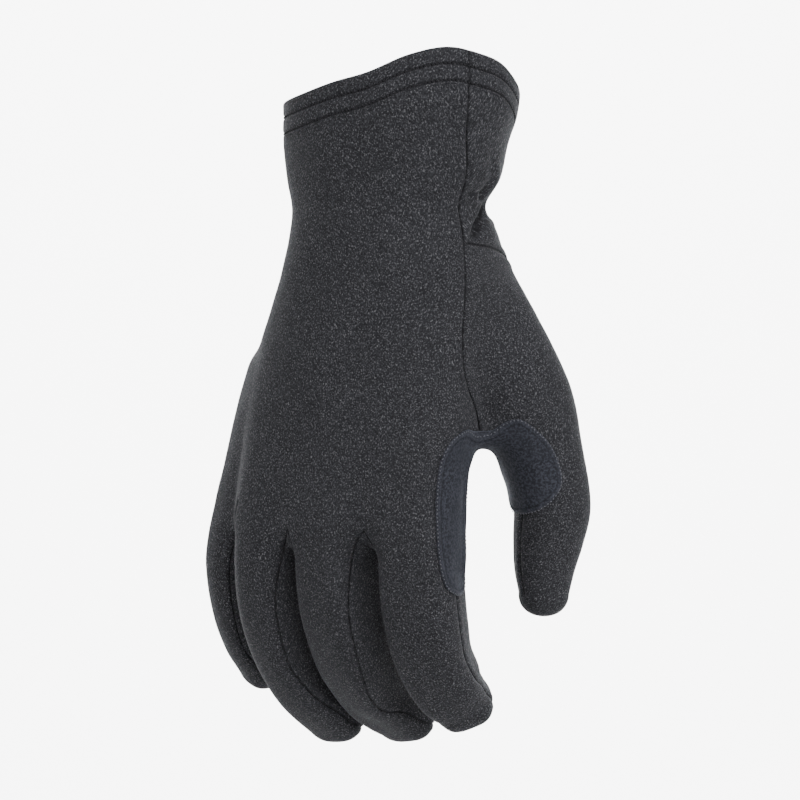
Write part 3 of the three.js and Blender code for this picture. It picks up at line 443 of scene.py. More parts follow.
def digit_ray(name, place, angle, tilt):
    """Rays from a digit's axis: angle 0 is the nail side and 90 the thumb side, and tilt turns them to the tip."""
    place, angle, tilt = np.broadcast_arrays(place, angle, tilt)
    s = station_at(name, place)
    a, t = angle * DEGREE, (tilt * DEGREE)[..., None]
    across, back = (s["width"] * np.sin(a))[..., None], (s["depth"] * np.cos(a))[..., None]
    side = unit(s["across"] * across + s["back"] * back)
    return s["centre"], side * np.cos(t) + s["along"] * np.sin(t)


def thumb_ray(turn, place, tilt):
    """Rays from the thumb's axis, turned round it from the side that faces the index finger."""
    turn, place, tilt = np.broadcast_arrays(turn, place, np.asarray(tilt, float))
    s = station_at("thumb", place)
    inner = unit(np.array([-0.42, -0.91, 0]))
    inner = unit(inner - s["along"] * (s["along"] @ inner)[..., None])
    a = (-2 * math.pi * turn)[..., None]
    side = inner * np.cos(a) + np.cross(s["along"], inner) * np.sin(a)
    t = (tilt * DEGREE)[..., None]
    return s["centre"], side * np.cos(t) + s["along"] * np.sin(t)


def radial_seam_angle(z):
    return table_curve(RADIAL_SEAM, z)[..., 1]


def rim_height(angle):
    return table_curve(RIM_ROWS, (np.asarray(angle, float) + 180) % 360 - 180)[..., 1]


def panel_top(angle):
    return rim_height(angle) - HEM_DEPTH


def place_at_height(name, z):
    centre = STATIONS[name]["centre"][:, 2]
    return np.interp(-np.asarray(z, float), -centre, np.arange(len(centre)))


def fine_steps(count, parts, start=(), end=()):
    """Places 0 to count, with equal parts in each whole step, and closer ones beside the first or last place."""
    extra = list(start) + [count - x for x in end]
    return np.unique(np.round(np.concatenate([np.arange(count * parts + 1) / parts, extra]), 6))


def read_steps(steps, places):
    return np.interp(places, np.arange(len(steps)), steps)


def finger_columns(parts):
    """Places across one finger's strip, 0 to 4, closer beside its two seams."""
    return fine_steps(4, parts, EDGE, EDGE)


def web_row(face, q):
    """Angles and heights of a panel's row where the slits start: whole q are the slits and the outer seams."""
    ends = [[float(radial_seam_angle(RADIAL_EDGE_Z)), RADIAL_EDGE_Z]]
    ends += [row[:2] if face == "back" else row[2:] for row in FINGER_WEBS]
    ends += [[ULNAR_SEAM_ANGLE - (0 if face == "back" else 360), ULNAR_EDGE_Z]]
    ends = np.array(ends, float)
    k = np.minimum(np.floor(q).astype(int), 3)
    s = np.where((k == 3) & (face == "palm"), (q - k) ** 2.1, q - k)
    return mix(ends[k, 0], ends[k + 1, 0], s), mix(ends[k, 1], ends[k + 1, 1], s)


def seam_angle(name, side, face, share, tilt):
    """The angle of a finger's seam: fixed down the tube, closing to the side at the tip."""
    closing = smooth((share - 0.72) / 0.28) * 0.35 + smooth(tilt / GUSSET_END_TILT) * 0.65
    corner = BACK_CORNER if face == "back" else PALM_CORNER
    if (name, side) == ("index", "radial"):
        corner = INDEX_OUTER
    if (name, side) == ("little", "ulnar"):
        corner = LITTLE_OUTER
    return (1 if side == "radial" else -1) * mix(corner, 90.0, closing)


def finger_steps():
    """Shares along the finger and tilts over its tip, row by row."""
    return np.concatenate([SHARES, np.ones(4)]), np.concatenate([0 * SHARES, TILTS[1:]])


def finer_rows(rays, parts):
    stacked = np.concatenate(rays, -1)
    made = through(stacked, fine_steps(len(stacked) - 1, parts))
    return made[..., :3], made[..., 3:]


def strip_rays(k, face, places):
    """A finger's strip of the back or palm panel: rays pass from the hand's fan to the finger's own."""
    name = FINGERS[k]
    s = places / 4
    start = hand_ray(*web_row(face, k + s))
    landing = place_near(along_ray(start, cast(start, 0)), name)
    share, tilt = (x[:, None] for x in finger_steps())
    last = len(STATIONS[name]["width"]) - 1
    radial = seam_angle(name, "radial", face, share, tilt)
    ulnar = seam_angle(name, "ulnar", face, share, tilt) + (360 if face == "palm" else 0)
    skew = 0.75 if (face, name) == ("palm", "little") else 1
    own = digit_ray(name, mix(landing, last, share), mix(radial, ulnar, s**skew), tilt)
    origin, aim = mix_rays(own, start, np.broadcast_to(1 - smooth(share / 0.3), own[0].shape[:2]))
    origin[0], aim[0] = start
    return origin, aim


# The seams down the thumb side, each as rows of: origin, aim, angle, z, bent.


def seam_rows(rays, angle, z, bent):
    return np.column_stack([rays[0], rays[1], angle, z, bent])


def upper_seam():
    z = mix(float(panel_top(radial_seam_angle(0))), THUMB_TOP_Z, np.linspace(0, 1, 5))
    angle = radial_seam_angle(z)
    return seam_rows(hand_ray(angle, z), angle, z, 0 * z)


def thumb_top_seam():
    u = np.linspace(0, 1, 19)
    _, angle, z = table_curve(THUMB_TOP_SEAM, u - 0.06 * np.sin(2 * math.pi * u)).T
    return seam_rows(hand_ray(angle, z), angle, z, 0 * z)


def turned_seam(angle, z, t, start, table, end_angle):
    """A seam on the hand that turns down to the crotch's saddle: after start its rays pass to the table's."""
    s = (t - start) / (1 - start)
    _, x, y, h, to_x, to_y, to_z = table_curve(table, np.clip(s, 0, 1)).T
    turned = ray(np.column_stack([x, y, h]), np.column_stack([to_x - x, to_y - y, to_z - h]) / 12)
    rays = mix_rays(hand_ray(angle, z), turned, smooth(s / 0.3))
    bent = s > 0
    return seam_rows(rays, np.where(bent, mix(angle, end_angle, s), angle), np.where(bent, to_z, z), bent)


def thumb_palm_angle(t):
    return THUMB_PALM_ANGLE - THUMB_PALM_BULGE * np.sin(math.pi / 2 * np.clip(t / 0.55, 0, 1))


def thumb_back_seam():
    t = np.array(THUMB_UPPER_STEPS)
    z = mix(THUMB_TOP_Z, THUMB_CROTCH_Z, t)
    return turned_seam(radial_seam_angle(z), z, t, 0.5, BACK_TO_SADDLE, float(radial_seam_angle(SADDLE_Z)))


def thumb_palm_seam():
    t = np.array(THUMB_UPPER_STEPS)
    z = mix(THUMB_TOP_SEAM[-1][2], THUMB_CROTCH_Z, t)
    return turned_seam(thumb_palm_angle(t), z, t, 0.42, PALM_TO_SADDLE, SADDLE_PALM_ANGLE)


def index_seam(face):
    t = np.linspace(0, 1, 7)
    z = mix(SADDLE_Z, RADIAL_EDGE_Z, t)
    angle = radial_seam_angle(z)
    saddle = thumb_back_seam()[-1]
    rays = mix_rays((saddle[:3], saddle[3:6]), hand_ray(angle, z), smooth(t / 0.5))
    shown = angle if face == "back" else mix(SADDLE_PALM_ANGLE, angle, smooth(t / 0.7))
    return seam_rows(rays, shown, z, t < 0.5)


def joined(*parts):
    """Seam parts read finely and set end to end, each with its place as a row number of the whole."""
    rows, places, row = [], [], 0
    for made, steps in parts:
        rows.append(through(made, steps)[1 if rows else 0:])
        places.append((steps + row)[1 if places else 0:])
        row += len(made) - 1
    return np.vstack(rows), np.concatenate(places), row


def panel_rays(face, columns):
    """The back or palm panel above the slits: rows run from the thumb-side seam round to the far seam."""
    top, low = (upper_seam(), fine_steps(4, 16, (0.02, 0.04))), (index_seam(face), fine_steps(6, 6))
    if face == "back":
        parts = [(thumb_back_seam(), fine_steps(9, 6))]
    else:
        parts = [(thumb_top_seam(), fine_steps(18, 4)), (thumb_palm_seam(), fine_steps(9, 5))]
    seam, place, last = joined(top, *parts, low)
    along = (place / last)[:, None]
    start, end = web_row(face, np.array([0.0])), web_row(face, np.array([4.0]))
    angles, heights = web_row(face, columns)
    point_angle, point_z, bent = (seam[:, k, None] for k in (6, 7, 8))
    s = (angles - start[0]) / (end[0] - start[0])
    angle = mix(point_angle, end[0], s)
    far = mix(panel_top(end[0]), end[1], along ** (1 if face == "back" else 1.25))
    lift = panel_top(angle) - mix(panel_top(point_angle), panel_top(end[0]), s)
    drop = heights - mix(start[1], end[1], s)
    z = mix(point_z, far, s) + lift * (1 - along) ** 6 + drop * along**3
    direct = hand_ray(angle, z)
    reach = 0.2 if face == "back" else 0.3
    own = (seam[:, None, :3], seam[:, None, 3:6])
    share = mix(1.0, smooth(s / reach), np.clip(bent, 0, 1))
    share[:, 0] = 0
    return mix_rays(own, direct, share)


def thumb_rays():
    """The thumb: a fan of rays round its axis, opening above the crotch into the seams on the hand."""
    wide = fine_steps(18, 4, EDGE, EDGE)
    back, palm, top = (through(rows, steps) for rows, steps in (
        (thumb_back_seam(), fine_steps(9, 6)), (thumb_palm_seam(), fine_steps(9, 6)), (thumb_top_seam(), wide)))
    t = read_steps(THUMB_UPPER_STEPS, fine_steps(9, 6))[:, None]
    even = wide / 18
    u = even - 0.06 * np.sin(2 * math.pi * even)
    swell = np.sin(math.pi * u)
    start_place, crotch_place = place_at_height("thumb", THUMB_TOP_Z), place_at_height("thumb", THUMB_FREE_Z)
    last = len(STATIONS["thumb"]["width"]) - 1
    z = mix(top[:, 7], THUMB_CROTCH_Z, t)
    angle = mix(mix(radial_seam_angle(z), thumb_palm_angle(t), u), top[:, 6], 1 - smooth(2 * t))
    edge = mix_rays((back[:, None, :3], back[:, None, 3:6]), (palm[:, None, :3], palm[:, None, 3:6]),
                    np.broadcast_to(u, z.shape))
    inside = mix(1.0, smooth(swell * 2.2), smooth(t / 0.14)) * (1 - smooth((t - 0.55) / 0.45))
    inside[1:, [0, -1]] = 0
    begin = mix_rays(edge, hand_ray(angle, z), inside)
    hidden = 0.28 * (1 - smooth(t))
    turn = mix(hidden, 1 - hidden, u) + 0.09 * smooth(t) * np.sin(2 * math.pi * u)
    own = thumb_ray(turn, mix(start_place, crotch_place, t), 0)
    upper = mix_rays(begin, own, smooth(swell * 1.6) * smooth(t / 0.75))
    t = read_steps(THUMB_LOWER_STEPS, fine_steps(11, 6))[1:, None]
    tilt = 18 * smooth(t / 0.04) * (1 - smooth(t / 0.2)) * (0.5 + 0.5 * np.cos(2 * math.pi * u))
    turn = (u + 0.09 * (1 - smooth(t / 0.3)) * np.sin(2 * math.pi * u)) % 1
    fan = thumb_ray(turn, mix(crotch_place, last, t), tilt)
    saddle = (back[-1, :3], back[-1, 3:6])
    lower = mix_rays(fan, saddle, (1 - smooth(t / 0.16)) * (1 - smooth(swell * 1.6)))
    tilts = read_steps(TILTS, fine_steps(4, 5))[1:, None]
    tip = thumb_ray(np.where(tilts == 90, 0, u % 1), float(last), tilts)
    return tuple(np.concatenate([upper[i], lower[i], tip[i]]) for i in (0, 1))


def gusset_rays(k, places):
    """A gusset between two fingers: from one tip up its side, round the web and down to the other tip."""
    web_z = (FINGER_WEBS[k][1] + FINGER_WEBS[k][3]) / 2
    pair = FINGERS[k:k + 2]
    above = sum(station_at(name, place_at_height(name, web_z))["centre"] for name in pair) / 2 + WEB_RAYS[k][0]
    crotch = ray(above[None], [WEB_RAYS[k][1]])
    landing = along_ray(crotch, cast(crotch, 0))
    share, tilt = finger_steps()
    kept = tilt <= GUSSET_END_TILT
    sides = []
    for which, name in enumerate(pair):
        column = np.array([4.0 * (1 - which)])
        back, palm = (tuple(x[kept] for x in strip_rays(k + which, face, column)) for face in ("back", "palm"))
        place = mix(place_near(landing, name), len(STATIONS[name]["width"]) - 1, share[kept, None])
        lateral = digit_ray(name, place, 90.0 if which else -90.0, tilt[kept, None])
        middle = mix_rays(lateral, crotch, 1 - smooth(share[kept, None] / 0.3))
        u = np.broadcast_to(places, (kept.sum(), len(places)))
        first, second = mix_rays(back, middle, 2 * u), mix_rays(middle, palm, 2 * u - 1)
        sides.append([np.where(u[..., None] < 0.5, first[i], second[i]) for i in (0, 1)])
    return tuple(np.concatenate([sides[0][i][::-1], sides[1][i][1:]]) for i in (0, 1))


def patch_rays(across):
    """The grip patch: a strip from the index finger's side up over the thumb's crotch and down the thumb."""
    table = through(PATCH_ROWS, fine_steps(len(PATCH_ROWS) - 1, 7, EDGE, EDGE))
    origin, back, middle, palm = (table[:, None, k] for k in range(4))
    u = across[None, :, None]
    aim = (1 - u) * (1 - 2 * u) * (back - origin) + 4 * u * (1 - u) * (middle - origin)
    aim = aim + u * (2 * u - 1) * (palm - origin)
    return np.broadcast_to(origin, aim.shape), aim


# Cloth.


def grid_quads(ids):
    return np.stack([ids[:-1, :-1], ids[:-1, 1:], ids[1:, 1:], ids[1:, :-1]], -1).reshape(-1, 4)


def merged(grids):
    """Grids of rays as one sheet, where rays that agree become one vertex: its rays, its quads by vertex and by
    grid point, and each grid point's vertex."""
    rays = np.concatenate([np.concatenate([o.reshape(-1, 3), unit(a).reshape(-1, 3)], 1) for o, a in grids])
    _, first, index = np.unique(np.round(rays, 4), axis=0, return_index=True, return_inverse=True)
    index = index.reshape(-1)
    faces, corners, start = [], [], 0
    for o, _ in grids:
        r, c = o.shape[:2]
        ids = start + np.arange(r * c).reshape(r, c)
        quads = grid_quads(ids)
        faces.append(index[quads])
        corners.append(quads)
        start += r * c
    return (rays[first, :3], rays[first, 3:]), np.concatenate(faces), np.concatenate(corners), index


def split_faces(quads, corners):
    """Quads whose corners meet become triangles, and those with fewer than three corners are dropped."""
    same = quads == np.roll(quads, -1, axis=1)
    count = same.sum(1)
    whole = count == 0
    one = count == 1
    keep = ~same[one]
    tri = quads[one][keep].reshape(-1, 3)
    tri_corner = corners[one][keep].reshape(-1, 3)
    fine = (tri[:, 0] != tri[:, 1]) & (tri[:, 1] != tri[:, 2]) & (tri[:, 0] != tri[:, 2])
    good = quads[whole]
    crossed = (good[:, 0] == good[:, 2]) | (good[:, 1] == good[:, 3])
    return good[~crossed], corners[whole][~crossed], tri[fine], tri_corner[fine]


def rim_edges(faces):
    """Directed edges that only one face uses."""
    edges = np.concatenate([np.stack([f, np.roll(f, -1, axis=1)], -1).reshape(-1, 2) for f in faces if len(f)])
    n = edges.max() + 1
    key, back = edges[:, 0] * n + edges[:, 1], edges[:, 1] * n + edges[:, 0]
    return edges[~np.isin(key, back)]


def distance_to(points, lines):
    """Each point's distance to the nearest of many short line pieces, given as their two ends."""
    a, b = lines
    ab = b - a
    length = np.maximum((ab**2).sum(-1), 1e-12)
    made = np.full(len(points), 1e9)
    for first in range(0, len(points), 2000):
        p = points[first:first + 2000, None]
        t = np.clip(((p - a) * ab).sum(-1) / length, 0, 1)
        made[first:first + 2000] = np.sqrt((((p - a) - ab * t[..., None]) ** 2).sum(-1).min(1))
    return made


def add_mesh(name, points, quads, tris, material, uv=None, seam=None):
    """A mesh object from whole arrays: points in millimetres, quads, triangles, one uv per face corner."""
    mesh = bpy.data.meshes.new(name)
    mesh.vertices.add(len(points))
    mesh.vertices.foreach_set("co", (points * MM).astype(np.float32).ravel())
    loops = np.concatenate([quads.ravel(), tris.ravel()]).astype(np.int32)
    sizes = np.concatenate([np.full(len(quads), 4), np.full(len(tris), 3)])
    starts = np.concatenate([[0], np.cumsum(sizes)[:-1]]).astype(np.int32)
    mesh.loops.add(len(loops))
    mesh.loops.foreach_set("vertex_index", loops)
    mesh.polygons.add(len(sizes))
    mesh.polygons.foreach_set("loop_start", starts)
    mesh.update(calc_edges=True)
    mesh.polygons.foreach_set("use_smooth", np.ones(len(sizes), bool))
    if uv is not None:
        layer = mesh.uv_layers.new(name="UVMap")
        layer.data.foreach_set("uv", uv.astype(np.float32).ravel())
    if seam is not None:
        layer = mesh.attributes.new("seam", "FLOAT", "POINT")
        layer.data.foreach_set("value", seam.astype(np.float32))
    mesh.materials.append(material)
    mesh.validate()
    mesh.update()
    piece = bpy.data.objects.new(name, mesh)
    bpy.context.scene.collection.objects.link(piece)
    return piece


def rolled_edge(distance, width, depth):
    """A quarter round: how far the skin sinks beside a seam, from depth at the seam to none at its width."""
    x = np.clip(1 - distance / width, 0, 1)
    return depth * (1 - np.sqrt(1 - x**2))


def waves(points, scale, seed):
    """Gentle seeded unevenness between -1 and 1: a few sine waves in fixed directions."""
    rng = np.random.default_rng(seed)
    directions = unit(rng.normal(size=(7, 3)))
    phases = rng.uniform(0, 2 * math.pi, 7)
    lengths = scale * rng.uniform(0.7, 1.5, 7)
    return np.sin(points @ (directions / lengths[:, None]).T * 2 * math.pi + phases).sum(-1) / 4


def uv_of(grids, points, index):
    """Cloth coordinates in metres: distance across each row from its middle, and down each column."""
    made, start = [], 0
    for o, _ in grids:
        r, c = o.shape[:2]
        p = points[index[start:start + r * c]].reshape(r, c, 3) * MM
        across = np.concatenate([np.zeros((r, 1)), np.linalg.norm(np.diff(p, axis=1), axis=-1).cumsum(1)], 1)
        across -= across[:, c // 2:c // 2 + 1]
        down = np.concatenate([np.zeros((1, c)), np.linalg.norm(np.diff(p, axis=0), axis=-1).cumsum(0)], 0)
        down = np.broadcast_to(down[:, c // 2:c // 2 + 1], (r, c))
        made.append(np.stack([across, down], -1).reshape(-1, 2))
        start += r * c
    return np.concatenate(made)


def line_distance(points, lines):
    """Distance to the nearest of some polylines, given as lists of points in millimetres."""
    ends = [(np.asarray(line, float)[:-1], np.asarray(line, float)[1:]) for line in lines]
    return distance_to(points, tuple(np.concatenate(side) for side in zip(*ends)))


def fold_relief(points):
    """Gathers beside the wrist: soft folds, sunk or raised, that fade at their ends. Each lies along two points'
    straight run, moved out from the hand's middle to the skin."""
    made = np.zeros(len(points))
    near = np.flatnonzero((points[:, 2] > -70) & (points[:, 0] > 8))
    if not len(near):
        return made
    run = np.linspace(0, 1, 9)[:, None]
    for *ends, width, height in GATHERS:
        line = mix(np.array(ends[:3]), np.array(ends[3:]), run)
        middle = np.column_stack([hand_at(line[:, 2])[1], 0 * line[:, 2], line[:, 2]])
        rays = (middle, line - middle)
        line = along_ray(rays, cast(rays, 0.0))
        fade = np.sin(math.pi * (run[:-1, 0] + run[1:, 0]) / 2) ** 0.5
        parts = zip(line[:-1, None], line[1:, None], fade)
        made[near] += height * np.max([share * np.exp(-((distance_to(points[near], (a, b)) / width) ** 2))
                                       for a, b, share in parts], axis=0)
    return made


def sewn_sheet(name, grids, material, size, wall, base=0.0, lines=(), relief=None, covered=0):
    """A closed piece of cloth. Its ray grids are cast to the skin, which sinks in a quarter round along its edges
    and in grooves along sewn lines. The first grid's first points, as many as are covered, lie under the hem and
    don't sink. The same rays, cast one wall further in, give its inner skin."""
    rays, quads, corners, index = merged(grids)
    quads, quad_corner, tris, tri_corner = split_faces(quads, corners)
    rough = cast(rays, base)
    points = along_ray(rays, rough)
    rim = rim_edges([quads, tris])
    shown = rim[~np.isin(rim, index[:covered]).all(1)]
    edge_away = distance_to(points, (points[shown[:, 0]], points[shown[:, 1]]))
    line_away = line_distance(points, lines) if len(lines) else np.full(len(points), 99.0)
    width, depth = size.seam_width / MM, size.seam_depth / MM
    away = np.minimum(edge_away, line_away)
    level = base - rolled_edge(edge_away, width, depth)
    level -= LINE_DEPTH * rolled_edge(line_away, LINE_WIDTH * width, depth)
    level += SEAM_SWELL * np.exp(-(((away - 1.7 * width) / (0.9 * width)) ** 2))
    level += size.unevenness / MM * (waves(points, 30, 3) + 0.4 * waves(points, 11, 5)) * smooth(away / 4)
    folds = fold_relief(points)
    level += folds * smooth(away / 1.2)
    # Painted shade: the deeper creases of the gathers count as near a seam, so the fleece darkens in them.
    away = np.minimum(away, np.where(folds < -0.4, 0.85 + 0.5 * folds, FAR_AWAY))
    if relief is not None:
        level += relief(points, edge_away)
    outer = along_ray(rays, cast(rays, level, rough))
    inner = along_ray(rays, cast(rays, base - wall + np.minimum(level - base + 0.4, 0), rough - wall))
    count = len(outer)
    sides = np.stack([rim[:, 1], rim[:, 0], rim[:, 0] + count, rim[:, 1] + count], -1)
    uv = uv_of(grids, points, index)
    all_quads = np.concatenate([quads, quads[:, ::-1] + count, sides])
    all_tris = np.concatenate([tris, tris[:, ::-1] + count])
    uv_quads = np.concatenate([uv[quad_corner], uv[quad_corner[:, ::-1]], np.zeros((len(sides), 4, 2))])
    uv_tris = np.concatenate([uv[tri_corner], uv[tri_corner[:, ::-1]]])
    both = np.concatenate([outer, inner])
    if signed_volume(both, all_quads, all_tris) < 0:
        all_quads, uv_quads = all_quads[:, ::-1], uv_quads[:, ::-1]
        all_tris, uv_tris = all_tris[:, ::-1], uv_tris[:, ::-1]
    uvs = np.concatenate([uv_quads.reshape(-1, 2), uv_tris.reshape(-1, 2)])
    # The seam attribute: distance to the edges and sewn lines, lowered in the gathers' creases. The materials
    # paint shade and highlights from it.
    near = np.concatenate([away, np.full(count, FAR_AWAY)])
    piece = add_mesh(name, both, all_quads, all_tris, material, uvs, near)
    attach(piece, "root")
    return piece


def signed_volume(points, quads, tris):
    faces = np.concatenate([quads[:, [0, 1, 2]], quads[:, [0, 2, 3]], tris])
    a, b, c = (points[faces[:, k]] for k in range(3))
    return (a * np.cross(b, c)).sum() / 6


def add_stitches(name, path, pitch, length, width, slant, lift, material):
    """Small stitches along a path on the skin: slim rounded grains, slanted by turns to each side of the path."""
    path = np.asarray(path, float)
    step = np.linalg.norm(np.diff(path, axis=0), axis=1)
    run = np.concatenate([[0], step.cumsum()])
    at = np.arange(pitch / 2, run[-1], pitch)
    centre, before, after = (np.stack([np.interp(at + step, run, path[:, k]) for k in range(3)], -1)
                             for step in (0, -0.4, 0.4))
    along = unit(after - before)
    out = unit(field_slope(centre))
    side = unit(np.cross(out, along))
    turn = np.where(np.arange(len(at)) % 2 == 0, slant, -slant) * DEGREE
    lay = along * np.cos(turn)[:, None] + side * np.sin(turn)[:, None]
    wide = unit(np.cross(out, lay))
    rings, around = 5, 6
    u = np.linspace(0, math.pi, rings + 2)[1:-1]
    v = np.arange(around) / around * 2 * math.pi
    local = [np.stack([np.full(around, -math.cos(a)), math.sin(a) * np.cos(v), math.sin(a) * np.sin(v)], -1)
             for a in u]
    local = np.concatenate([[[-1.0, 0, 0]], *local, [[1.0, 0, 0]]])
    bend = -0.25 * local[:, 0] ** 2
    points = (centre + out * lift)[:, None] + (
        lay[:, None] * (local[None, :, :1] * length / 2)
        + wide[:, None] * (local[None, :, 1:2] * width / 2)
        + out[:, None] * ((local[None, :, 2:] + bend[None, :, None]) * width / 2))
    ids = 1 + np.arange(rings * around).reshape(rings, around)
    quads = np.stack([ids[:-1], ids[1:], np.roll(ids[1:], -1, 1), np.roll(ids[:-1], -1, 1)], -1).reshape(-1, 4)
    first = np.stack([np.zeros(around, int), ids[0], np.roll(ids[0], -1)], -1)
    last = np.stack([np.full(around, 1 + rings * around), np.roll(ids[-1], -1), ids[-1]], -1)
    tris = np.concatenate([first, last])
    if signed_volume(points[0], quads, tris) < 0:
        quads, tris = quads[:, ::-1], tris[:, ::-1]
    shift = np.arange(len(at))[:, None, None] * points.shape[1]
    piece = add_mesh(name, points.reshape(-1, 3), (quads + shift).reshape(-1, 4),
                     (tris + shift).reshape(-1, 3), material)
    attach(piece, "root")
    return piece


def field_slope(points):
    steps = np.eye(3) * 0.2
    return np.stack([glove_field(points + step) - glove_field(points - step) for step in steps], -1)


# Finishes.


def new_material(name):
    material = bpy.data.materials.get(name) or bpy.data.materials.new(name)
    material.use_nodes = True
    tree = material.node_tree
    tree.nodes.clear()
    shader = tree.nodes.new("ShaderNodeBsdfPrincipled")
    output = tree.nodes.new("ShaderNodeOutputMaterial")
    tree.links.new(shader.outputs["BSDF"], output.inputs["Surface"])
    return material, tree, shader


def node(tree, kind, inputs=None, **settings):
    """A node with its settings, and its inputs linked or set by name or number."""
    made = tree.nodes.new(kind)
    for key, value in settings.items():
        setattr(made, key, value)
    for key, value in (inputs or {}).items():
        if isinstance(value, bpy.types.NodeSocket):
            tree.links.new(value, made.inputs[key])
        else:
            made.inputs[key].default_value = value
    return made


def maths(tree, operation, a, b=0.0):
    return node(tree, "ShaderNodeMath", {0: a, 1: b}, operation=operation).outputs[0]


def ramp(tree, value, low, high, to_low=0.0, to_high=1.0):
    inputs = {"Value": value, "From Min": low, "From Max": high, "To Min": to_low, "To Max": to_high}
    return node(tree, "ShaderNodeMapRange", inputs, interpolation_type="SMOOTHSTEP").outputs["Result"]


def noise(tree, vector, scale, detail=2.0, roughness=0.5):
    inputs = {"Vector": vector, "Scale": scale, "Detail": detail, "Roughness": roughness}
    return node(tree, "ShaderNodeTexNoise", inputs).outputs["Fac"]


def blend(tree, amount, a, b, kind="MIX"):
    made = tree.nodes.new("ShaderNodeMix")
    made.data_type = "RGBA"
    made.blend_type = kind
    for key, value in ((0, amount), (6, a), (7, b)):
        if isinstance(value, bpy.types.NodeSocket):
            tree.links.new(value, made.inputs[key])
        else:
            made.inputs[key].default_value = value
    return made.outputs[2]


def fleece_material(size):
    """Brushed fleece: light and dark fibres in fine grains over faint knit rows, with a soft nap, and painted
    shade in the sewn grooves and the deeper creases of the gathers.
    """
    material, tree, shader = new_material("fleece_dark_heather")
    place = node(tree, "ShaderNodeTexCoord").outputs["Object"]
    cloth = node(tree, "ShaderNodeUVMap", uv_map="UVMap").outputs["UV"]
    seam = node(tree, "ShaderNodeAttribute", attribute_name="seam").outputs["Fac"]
    turned = node(tree, "ShaderNodeMapping", {"Vector": cloth, "Rotation": (0, 0, 0.5), "Scale": (2000, 1350, 1)})
    fibres = node(tree, "ShaderNodeTexNoise", {"Vector": turned.outputs["Vector"], "Scale": 1.0, "Detail": 3.0,
                                               "Roughness": 0.65}).outputs["Fac"]
    grains = noise(tree, place, 1900.0, 2.0, 0.6)
    clumps = noise(tree, place, 420.0, 2.0, 0.5)
    broad = noise(tree, place, 45.0, 2.0, 0.5)
    rows = node(tree, "ShaderNodeMapping", {"Vector": cloth, "Rotation": (0, 0, 0.95)})
    knit = node(tree, "ShaderNodeTexWave", {"Vector": rows.outputs["Vector"], "Scale": 260.0, "Distortion": 3.5,
                                            "Detail": 1.0, "Detail Scale": 3.0}, wave_type="BANDS").outputs["Fac"]
    mixed = maths(tree, "ADD", maths(tree, "MULTIPLY", fibres, 0.55), maths(tree, "MULTIPLY", grains, 0.45))
    light = ramp(tree, mixed, 0.5, 0.68)
    dark = ramp(tree, mixed, 0.5, 0.35)
    tone = blend(tree, ramp(tree, clumps, 0.35, 0.65), (0.0140, 0.0142, 0.0168, 1), (0.0200, 0.0203, 0.0236, 1))
    tone = blend(tree, maths(tree, "MULTIPLY", knit, 0.16), tone, (0.012, 0.0124, 0.0147, 1))
    tone = blend(tree, maths(tree, "MULTIPLY", light, 0.9), tone, (0.120, 0.121, 0.130, 1))
    tone = blend(tree, maths(tree, "MULTIPLY", dark, 0.85), tone, (0.0035, 0.0036, 0.0046, 1))
    tone = blend(tree, ramp(tree, broad, 0.35, 0.7, 0.0, 0.15), tone, (0.013, 0.0134, 0.0156, 1))
    # Painted shade: where the seam attribute is small the fleece turns near black, broken up by noise. That is in
    # the sewn grooves, along the hem's sewn rows and in the gathers' deeper creases.
    painted_shade_breaks = ramp(tree, noise(tree, place, 620.0), 0.36, 0.56, 0.35, 1.0)
    painted_shade = maths(tree, "MULTIPLY", ramp(tree, seam, 0.7, 0.1, 0.0, 0.85), painted_shade_breaks)
    tone = blend(tree, painted_shade, tone, (0.003, 0.003, 0.004, 1))
    tree.links.new(tone, shader.inputs["Base Color"])
    shader.inputs["Roughness"].default_value = 0.93
    shader.inputs["Specular IOR Level"].default_value = 0.2
    shader.inputs["Sheen Weight"].default_value = 0.12
    shader.inputs["Sheen Roughness"].default_value = 0.45
    shader.inputs["Sheen Tint"].default_value = (0.3, 0.31, 0.34, 1)
    height = maths(tree, "ADD", maths(tree, "MULTIPLY", clumps, 0.6), maths(tree, "MULTIPLY", mixed, 0.7))
    height = maths(tree, "ADD", height, maths(tree, "MULTIPLY", knit, 0.12))
    bump = node(tree, "ShaderNodeBump", {"Height": height, "Strength": 0.55, "Distance": size.nap})
    tree.links.new(bump.outputs["Normal"], shader.inputs["Normal"])
    return material


